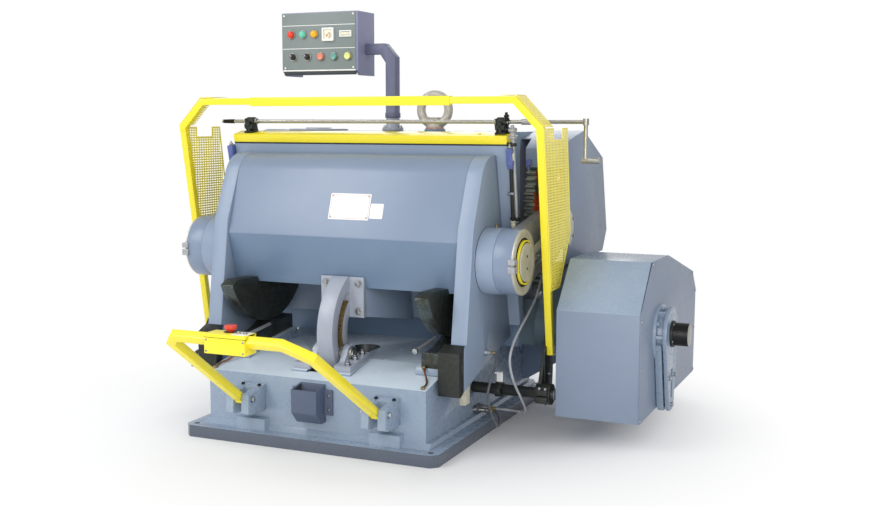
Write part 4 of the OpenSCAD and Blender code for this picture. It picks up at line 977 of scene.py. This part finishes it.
def addFaceFinishes():
    for side in ("right", "left"):
        # each rod's hub is painted round its rim
        regionFinish(dressed[f"rod_{side}"], bodyBlue,
                     lambda c, n: 126 < fromAxis(c, trunnion) < 133 and abs(n.x) < 0.9 and abs(c.x) < 746)
    regionFinish(dressed["crank_gears"], gearIron, lambda c, n: fromAxis(c, crankAxis) > 249)
    # the arm's slot is bare and greasy where the pin slides
    regionFinish(dressed["guide_arm"], brass, lambda c, n: abs(n.x) < 0.3 and c.y < -336 and min(
        abs(fromAxis(c, rollLine) - r) for r in (166.5, 207.5)) < 1.2)
    # the housing's downward front facet is darker: painted shade, with some deeper tone
    regionFinish(dressed["platen_housing"], recessShadeBlue, lambda c, n: n.y < -0.8 and n.z < -0.1)
    regionFinish(dressed["flywheel_shaft"], steel, lambda c, n: n.x > 0.5)
    regionFinish(dressed["rocker_sectors"], railIron, lambda c, n: 308 < fromAxis(c, trunnion) < 311)
    # the bed's front faces under the platen take the same painted shade
    regionFinish(dressed["bed"], recessShadeBlue, lambda c, n: n.y < -0.9 and c.z > 330)
    # the deck's top takes painted light, the foot flange painted shade, and the well and the pocket painted
    # shadow inside
    # the flywheel cover's upward faces take the lighter base enamel: painted light on its top
    regionFinish(dressed["flywheel_cover"], baseBlue, lambda c, n: n.z > 0.4)
    deckFoot, flangeTop, pocketHalf = 230, 50, 49
    well = {"wallHalf": 63, "floorHalf": 60, "front": -500, "back": -50, "foot": 60, "rim": 250}

    def inWell(c, half):
        return abs(c.x) < half and well["front"] < c.y < well["back"] and well["foot"] < c.z
    regionFinish(dressed["base"], deckLitBlue, lambda c, n: n.z > 0.8 and c.z > deckFoot)
    regionFinish(dressed["base"], flangeShadeBlue, lambda c, n: c.z < flangeTop and n.z < 0.9)
    regionFinish(dressed["base"], shadowDark, lambda c, n: inWell(c, well["wallHalf"]) and n.z < 0.8)
    regionFinish(dressed["base"], shadowDark, lambda c, n: inWell(c, well["floorHalf"]) and c.z < well["rim"])
    regionFinish(dressed["front_pocket"], shadowDark,
                 lambda c, n: abs(c.x) < pocketHalf and (n.y > 0.3 or abs(n.x) > 0.9))


addFaceFinishes()


print("hoses")
gland = {"x": 552, "z": 88, "wall": 488, "front": -86, "back": -44}
hoseRadius = 5
hoses = {
    "driveHose": [
        (720, 128, 640), (720, 112, 640), (720, 74, 612), (720, 20, 558), (720, -60, 512),
        (720, -165, 462), (720, -250, 412), (720, -288, 350), (726, -262, 268), (732, -196, 190),
        (726, -122, 126), (700, -68, 94), (650, -46, gland["z"]), (600, -44, gland["z"]),
        (580, -44, gland["z"]), (gland["x"], gland["back"], gland["z"])],
    "cheekHose": [
        (618, -230, 364), (632, -230, 364), (650, -246, 344), (648, -280, 296),
        (636, -306, 222), (642, -292, 140), (650, -244, 78), (636, -176, 62), (606, -108, 78),
        (576, -86, gland["z"]), (gland["x"], gland["front"], gland["z"])],
}


def addHose(name, body, skin):
    line = softLine(hoses[name], 8)
    piece = tube(line, hoseRadius, 5)
    # swaged ends: a ferrule with two crimps at each end of the hose
    ends = []
    for tip, inner in ((line[0], line[1]), (line[-1], line[-2])):
        ends.append(turned([(-0.5, 6), (3, 7.4), (6, 7.4), (7, 6.6), (8, 7.4), (14, 7.4), (15, 6.6),
                            (16, 7.4),
                            (20, 7), (21, 5.2)], 24, 0.2, tip, Vector(inner) - Vector(tip)))
    piece.data.materials.append(skin)
    piece.name = name
    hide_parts("lube_hoses")
    finishPiece(ends[0], f"{name}_topFerrule", brass, body)
    finishPiece(ends[1], f"{name}_glandFerrule", brass, "frame")
    if body == "frame":
        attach(piece, "frame")
    else:
        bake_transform(piece)


def addHoseFittings():
    nuts = []
    for y in (gland["front"], gland["back"]):
        nuts.append(turned([(0, 17), (4, 17), (5, 15)], 32, 0.4, (gland["wall"] + 12, y, gland["z"]),
                           "right"))
        nuts.append(turned([(5, 13.5), (16, 13.5), (17.5, 12)], 6, 0.5,
                           (gland["wall"] + 12, y, gland["z"]), "right"))
        nuts.append(turned([(40, 11), (50, 11), (51, 10)], 6, 0.4, (gland["wall"] + 12, y, gland["z"]),
                           "right"))
    finishPiece(joined(nuts), "glandNuts", boltSteel, "frame")
    nut = turned([(0, 13), (9, 13), (10, 11.6)], 6, 0.5, (720, 142, 640), "front")
    finishPiece(nut, "driveHoseNut", boltSteel, "frame")
    # valve with its two nuts above the drive hose's end
    valve = [turned([(0, 9), (5, 9), (5, 14), (14, 14), (16, 9), (20, 8)], 6, 0.5, (720, 122, 640), "up"),
             turned([(0, 8), (18, 8), (18, 11), (26, 11), (28, 8)], 6, 0.4, (728, 122, 648), "right")]
    finishPiece(joined(valve), "driveHoseValve", castSteel, "frame")
    elbow = turned([(0, 15), (3, 15), (3, 12), (13, 12), (14, 10.6)], 6, 0.5, (594, -230, 364), "right")
    finishPiece(elbow, "cheekHoseNut", boltSteel, "platen")


addHoseFittings()
addHose("driveHose", "frame", hoseGrey)
addHose("cheekHose", "platen", hoseDark)


print("platen's edges and top rod")
stripFoot, stripTop, plateSide, plateFront = 724, 758, 642, 268
rodLine = {"u": 324, "v": 803, "brackets": (-576, 606)}


def addPlatenEdges():
    # rubber seal under the strip
    seal = leaned(block((-plateSide + 1, plateFront - 2, stripFoot - 6),
                        (plateSide - 1, plateFront + 1, stripFoot), 0.8))
    finishPiece(seal, "stripSeal", rubber, "platen")
    for side, name in ((1, "right"), (-1, "left")):
        # end switch: a ribbed shell, a pale blank label and a cable below
        x0, x1 = span(side, 643, 669)
        shell = [block((x0, 243, 640), (x1, 281, 711), 3), block((x0, 246, 627), (x1, 278, 642), 4)]
        for v in (652, 700):
            shell.append(block((min(side * 668, side * 671), 248, v - 3),
                               # end switch: a ribbed shell, a pale blank label and a plunger on top; only
                               # the right one has a cable, the conduit made below
                               (max(side * 668, side * 671), 276, v + 3), 1))
        finishPiece(leaned(joined(shell)), f"endSwitch_{name}", switchBlue, "platen", "plate_switches")
        label = block((min(side * 668.6, side * 669.6), 249, 662),
                      (max(side * 668.6, side * 669.6), 275, 690), 0.3)
        finishPiece(leaned(label), f"endSwitchLabel_{name}", whitePlastic, "platen")
        head = turned([(0, 9), (6, 9), (9, 7), (9, 4), (16, 4), (18, 2.6)], 28, 0.4,
                      (side * 656, 262, 711), "up")
        finishPiece(leaned(head), f"endSwitchPlunger_{name}", boltSteel, "platen")
    # conduit down the right edge, with its clip and end fitting
    line = softLine([(656, 262, 628), (656, 258, 600), (655, 250, 540), (655, 243, 470), (655, 240, 414)],
                    5)
    finishPiece(leaned(tube(line, 7, 4)), "edgeConduit", rubber, "platen")
    clip = leaned(joined([block((641.5, 236, 522), (666, 262, 534), 2.5),
                          block((641.5, 262, 524), (646, 276, 532), 1)]))
    finishPiece(clip, "edgeConduitClip", boltSteel, "platen")
    end = turned([(0, 8.4), (4, 10.4), (18, 10.4), (20, 9), (24, 9), (26, 11), (31, 11)], 28, 0.4,
                 (655, 240, 384), "up")
    finishPiece(leaned(end), "edgeConduitEnd", creamPlastic, "platen")
    # oiled rod that hangs beside the edge, held by two eyes
    rodX = 668
    line = [(rodX, 274, 744), (rodX, 266, 640), (rodX, 256, 500), (rodX - 1, 250, 404)]
    finishPiece(leaned(tube(line, 7, 4)), "edgeRod", rodSteel, "platen")
    eyes = [turned([(-7, 13), (7, 13)], 28, 1, (rodX, u, v), "up") for u, v in ((272.5, 724), (251, 420))]
    eyes += [block((641.5, 264, 717), (rodX, 280, 731), 2), block((641.5, 244, 413), (rodX, 258, 427), 2)]
    finishPiece(leaned(joined(eyes)), "edgeRodEyes", blackIron, "platen")
    cap = turned([(0, 9), (6, 9), (8, 16), (14, 18), (18, 18), (20, 11), (34, 11), (36, 17), (44, 19),
                  (48, 17), (50, 8), (60, 7), (62, 5)], 32, 0.4, (rodX, 274, 740), "up")
    finishPiece(leaned(cap), "edgeRodCap", rodSteel, "platen")
    # threaded post with its nuts by the right bracket
    post = [turned([(758, 6), (842, 6), (844, 4.6)], 20, 0, (631, 316, 0), "up")]
    post += [turned([(v, 11), (v + 9, 11)], 6, 0.6, (631, 316, 0), "up") for v in (758, 772, 812, 824)]
    finishPiece(leaned(joined(post)), "bracketPost", darkSteel, "platen")


def addTopRod():
    u, v = rodLine["u"], rodLine["v"]
    parts = []
    for x in rodLine["brackets"]:
        # two cheeks, a cross bolt and a knurled clamp screw on each bracket
        parts += [block((x + k * 18 - 3, u - 20, stripTop + 6), (x + k * 18 + 3, u + 12, v + 16),
                        1.5) for k in (-1, 1)]
        parts.append(turned([(-25, 5), (25, 5)], 20, 0.5, (x, u - 14, stripTop + 18), "right"))
        parts.append(turned([(0, 9), (12, 9), (14, 7.5)], 14, 0.4, (x, u - 20, v - 4), "front"))
    finishPiece(leaned(joined(parts)), "bracketCheeks", blackIron, "platen")
    tip = turned([(0, 3.5), (6, 8.4), (44, 9.4), (60, 9.4), (62, 8)], 28, 0.2, (-724, u, v), "right")
    finishPiece(leaned(tip), "topRodTip", darkSteel, "top_rod")
    sleeve = turned([(0, 8.2), (1, 12), (38, 12), (40, 10.6)], 32, 0.3, (690, u, v), "right")
    finishPiece(leaned(sleeve), "topRodCoupling", rodSteel, "top_rod")


addPlatenEdges()
addTopRod()


print("guide arm and deck")
guide = {"pin": (-394.5, 346), "ear": 79, "padFront": -502.5, "padTop": 316, "slope": 9.6}


def addGuideDetails():
    y, z = guide["pin"]
    for side, way in ((1, "right"), (-1, "left")):
        head = turned([(0, 31), (8, 31), (10, 29), (10, 21), (13, 20), (14, 6)], 48, 0.4,
                      (side * guide["ear"], y, z), way)
        finishPiece(head, f"guidePinHead_{way}", steel, "frame", "guide_pin")
        keeper = joined([block((min(side * 79, side * 85), y + 22, z - 16),
                               (max(side * 79, side * 85), y + 50, z + 4), 1.5)])
        finishPiece(keeper, f"guidePinKeeper_{way}", blackIron, "frame")
        bolts(11, [(side * 85, y + 40, z - 6)], way, f"guidePinKeeperBolt_{way}", "frame")
        # spacer between the ear and the arm
        spacer = turned([(36, 33), (38, 34), (53, 34), (54.6, 33)], 48, 0.3, (0, y, z), way)
        finishPiece(spacer, f"guidePinSpacer_{way}", steel, "frame")
    pin = turned([(-79, 20), (79, 20)], 64, 0.5, (0, y, z), "right")
    finishPiece(pin, "guidePinShank", rodSteel, "frame")
    rise = tan(radians(guide["slope"]))
    spots = []
    for side in (-1, 1):
        for reach in (22, 85, 148):
            spots.append((side * 106, guide["padFront"] + reach, guide["padTop"] + reach * rise))
    spread(hexBolt(19, 6), spots, (0, -rise, 1), "guideFootBolts", boltSteel, "frame")
    # a cast rib up each ear
    for side in (-1, 1):
        x0, x1 = span(side, 78, 90)
        rib = plate([(y - 10, z - 24), (y + 10, z - 24), (y + 20, z - 66), (y - 20, z - 72)], x0, x1, "YZ",
                    2)
        finishPiece(rib, f"guideEarRib_{'right' if side > 0 else 'left'}", paleGrey, "frame")


addGuideDetails()


print("rating plates")
front = {"low": (-360, 815), "high": (-268.6, 1078.5)}


def onFront(x, z, proud=0.0):
    # a place on the housing's sloped front, and how far it stands out
    share = (z - front["low"][1]) / (front["high"][1] - front["low"][1])
    y = front["low"][0] + share * (front["high"][0] - front["low"][0])
    return (x, y + frontWay[1] * proud, z + frontWay[2] * proud)


frontRun = Vector((0, front["high"][0] - front["low"][0], front["high"][1] - front["low"][1])).normalized()
frontWay = (0, -frontRun.z, frontRun.y)


def addRatingPlates():
    for name, x0, x1, z0, z1 in (("wide", -58, 127, 885, 989), ("square", 130, 188, 893, 952)):
        x, z = (x0 + x1) / 2, (z0 + z1) / 2
        half, rise = (x1 - x0) / 2, (z1 - z0) / 2 / frontRun.z
        card = plate(roundedOutline(-half, -rise, half, rise, 4), 0, 1.6, "XY", 0.4)
        finishPiece(aim(card, onFront(x, z), frontWay), f"ratingPlate_{name}", whitePlastic, "platen")
        if name == "wide":
            rim = plate(roundedOutline(-half + 5, -rise + 5, half - 5, rise - 5, 2), 1.5, 2, "XY", 0.1,
                        [roundedOutline(-half + 6.4, -rise + 6.4, half - 6.4, rise - 6.4, 1.4)])
            finishPiece(aim(rim, onFront(x, z), frontWay), "ratingPlateRim", ruleRed, "platen")
            spots = [onFront(x + a * (half - 11), z + b * (z1 - z0) / 2 * 0.8, 1.6) for a in (-1,
                1) for b in (-1, 1)]
            spread(roundScrew(7), spots, frontWay, "ratingPlateScrews", boltSteel, "platen")


addRatingPlates()


print("guards and safety bar")
arch = {"x": 836, "foot": (-90, 350), "shaft": (-150, 200)}
bail = {"pin": (-677, 192), "x": (-270, 330), "box": (-105, 63, -1145, -1071, 549)}


def addArchDetails():
    for side, way in ((1, "right"), (-1, "left")):
        y, z = arch["foot"]
        # wide lever plate under the bar's end, down past the shaft
        x0, x1 = span(side, arch["x"] - 31, arch["x"] - 24)
        lever = plate([(-134, 364), (-122, 384), (-40, 388), (-22, 370), (-26, 250), (-42, 152),
                       (-54, 140), (-108, 142),
                       (-118, 160), (-124, 250)], x0, x1, "YZ", 1.2)
        finishPiece(lever, f"archLever_{way}", blackIron, "arch")
        spots = [(side * (arch["x"] - a), y + b, z + c) for a, b,
                 c in ((0, 0, 0), (24, 14, -84), (24, 6, -176))]
        bolts(12, spots, way, f"archFootBolts_{way}", "arch")
        eye = turned([(0, 29), (3, 29), (4, 27)], 48, 0.4, (side * (arch["x"] - 28), y, z),
                     "left" if side > 0 else "right")
        finishPiece(eye, f"archFootWasher_{way}", blackIron, "arch")
        # split clamp on the shaft, with its two screws
        y, z = arch["shaft"]
        x0, x1 = span(side, 798, 846)
        clamp = joined([block((x0, y - 58, z - 26), (x1, y - 20, z - 2), 3),
                        block((x0, y - 58, z + 2), (x1, y - 20, z + 26), 3)])
        finishPiece(clamp, f"archClamp_{way}", blackIron, "arch")
        bolts(13, [(side * x, y - 44, z + 26) for x in (810, 834)], "up", f"archClampScrews_{way}", "arch")
        end = turned([(0, 22), (1, 22), (1.6, 20)], 48, 0.2, (862 if side > 0 else -848.4, y, z), way)
        finishPiece(end, f"shaftEnd_{way}", rodSteel, "arch")
        # the shaft bearing takes the darker copy of the base enamel that paints shade on the foot flange
        flange = turned([(0, 48), (10, 48), (12, 46), (12, 34), (20, 32), (22, 30)], 56, 0.5,
                        (side * 488, y, z), way)
        finishPiece(flange, f"shaftBearing_{way}", flangeShadeBlue, "frame")
        spots = [(side * 500, y + 40 * cos(radians(a)), z + 40 * sin(radians(a))) for a in (45, 135, 225,
            315)]
        bolts(11, spots, way, f"shaftBearingBolts_{way}", "frame")
    # trip bracket on its collar, which works the limit switch as the shaft turns
    collar = joined([turned([(0, 31), (30, 31)], 40, 1.5, (612, y, z), "right"),
                     block((612, y - 44, z - 12), (642, y - 20, z + 12), 2)])
    finishPiece(collar, "tripCollar", blackIron, "arch")
    bracket = joined([block((614, y - 2, z + 28), (640, y + 3, z + 74), 1),
                      block((614, y - 26, z + 69), (640, y + 3, z + 74), 1)])
    finishPiece(bracket, "tripBracket", whitePlastic, "arch")


def addSafetyBarDetails():
    y, z = bail["pin"]
    for x in bail["x"]:
        for side, way in ((1, "right"), (-1, "left")):
            bolts(18, [(x + side * 52, y, z)], way, f"bailPinBolt_{x}_{way}".replace("-", "m"), "frame")
        spots = [(x + k * 38, -600, 232) for k in (-1, 1)]
        spread(roundScrew(16), spots, (0, -0.23, 1), f"barBlockScrews_{x}".replace("-", "m"), darkSteel,
               "frame")
    x0, x1, y0, y1, top = bail["box"]
    card = block((x0 + 104, y0 + 10, top - 1), (x1 - 6, y1 - 8, top + 1.2), 0.8)
    finishPiece(card, "stopBoxPlate", whitePlastic, "safety_bar")
    buttons = [turned([(0, 9), (3, 9), (4, 7.6), (4, 6), (7, 5.6), (8, 3)], 32, 0.3, (x, -1108, top + 1),
                      "up") for x in (14, 42)]
    finishPiece(joined(buttons), "stopBoxButtons", steel, "safety_bar")
    collar = turned([(0, 25), (1, 25), (1.6, 24), (1.6, 12), (0, 12)], 48, 0.2, (-31, -1088, top), "up",
                    True)
    finishPiece(collar, "stopCollar", blackPlastic, "safety_bar")
    seam = block((x0 - 0.4, y0 - 0.4, top - 14), (x1 + 0.4, y1 + 0.4, top - 12.4), 0)
    spots = [(x, y0, z) for x in (x0 + 8, x1 - 8) for z in (top - 22, top - 62)]
    spread(roundScrew(8), spots, "front", "stopBoxScrews", boltSteel, "safety_bar")
    finishPiece(seam, "stopBoxSeam", darkSteel, "safety_bar")


addArchDetails()
addSafetyBarDetails()


print("covers and base")


def addCoverDetails():
    # bearing cap on the gear guard, and the switch plug under its hood
    cap = turned([(0, 80), (5, 80), (7, 77), (7, 62), (11, 60), (11, 30), (12.5, 28)], 72, 0.5,
                 (820, 110, 842), "right")
    finishPiece(cap, "guardBearingCap", hubBronze, "frame")
    spots = [(827, 110 + 70 * cos(radians(a)), 842 + 70 * sin(radians(a))) for a in range(30, 390, 60)]
    bolts(11, spots, "right", "guardBearingCapBolts", "frame")
    plug = joined([block((654, 63, 1100), (676, 80, 1126), 3),
                   turned([(0, 5), (22, 5)], 24, 0.5, (664, 71, 1082), "up")])
    finishPiece(plug, "hoodPlug", switchBlue, "frame")
    # flush face sheet of the flywheel cover, and its edge screws
    face = plate([(-170, 118), (870, 118), (885, 511), (804, 600), (298, 727), (5, 731), (-170, 545)],
                 1200.4, 1208.4, "YZ", 2)
    finishPiece(face, "coverFace", coverBlue, "frame")
    collar = turned([(0, 54), (9, 54), (11, 51), (11, 46)], 56, 0.5, (1262, 140, 427), "right")
    finishPiece(collar, "driveShaftCollar", blackIron, "flywheel")
    spots = [(1273, 140 + 48 * cos(radians(a)), 427 + 48 * sin(radians(a))) for a in (30, 120, 210, 300)]
    spread(roundScrew(9), spots, "right", "driveShaftCollarScrews", boltSteel, "flywheel")
    spots = [(1208, y, z) for y, z in ((-161, 132), (-161, 330), (-161, 520), (12, 721), (290, 717),
                                       (560, 652),
                                       (795, 594), (874, 500), (861, 330), (861, 132), (520, 127), (180,
                                           127))]
    spread(roundScrew(12), spots, "right", "coverScrews", boltSteel, "frame")
    # inner half of the clamped arm under the drive shaft, with its pinch bolts
    inner = plate([(48, 392), (110, 130), (132, 108), (176, 108), (200, 136), (236, 392)], 1211, 1239,
                  "YZ", 2)
    finishPiece(inner, "brakeArmInner", baseBlue, "frame")
    ties = [turned([(1238, 11), (1247, 11)], 24, 0.3, (0, y, z), "right") for y,
            z in ((104, 250), (192, 250), (146, 132))]
    finishPiece(joined(ties), "brakeArmTies", darkSteel, "frame")
    bolts(15, [(1262, y, z) for y, z in ((104, 250), (190, 250), (146, 134))], "right", "brakeArmBolts",
          "frame")
    # pocket's side screws and the socket bolts of the mast
    spots = [(x, -580, z) for x in (-74, 74) for z in (158, 214)]
    spread(roundScrew(12), spots, "front", "pocketScrews", boltSteel, "frame")
    bolts(14, [(-6 + k * 37, 169, 1253) for k in (-1, 1)], "up", "mastFootBolts", "frame")


def addDeckPipes():
    # copper oil pipes over the deck, from the front to each rail
    for side, name in ((1, "right"), (-1, "left")):
        line = softLine([(side * x, y, z) for x, y, z in (
            (470, -556, 277), (468, -520, 288), (452, -486, 296), (430, -456, 318), (420, -440, 330))], 5)
        finishPiece(tube(line, 4, 4), f"oilPipe_{name}", copper, "frame")
        spots = [turned([(0, 9), (10, 9), (11, 7.6)], 6, 0.4, (side * 470, -556, 273), (0, -0.2, 1)),
                 turned([(0, 8), (14, 8), (15, 6.6)], 6, 0.4, (side * 420, -440, 320), "up")]
        finishPiece(joined(spots), f"oilPipeNuts_{name}", brass, "frame")


def addRailRods():
    # ground rod beside each rocker rail, with a nut at its front end
    for side, name in ((1, "right"), (-1, "left")):
        finishPiece(tube([(side * 391, -462, 395), (side * 391, -262, 413)], 7, 5), f"railRod_{name}",
                    rodSteel, "frame")
        nut = turned([(0, 12), (12, 12), (13, 10)], 6, 0.5, (side * 391, -452, 396), (0, -1, -0.09))
        finishPiece(nut, f"railRodNut_{name}", boltSteel, "frame")


addCoverDetails()
addDeckPipes()
addRailRods()
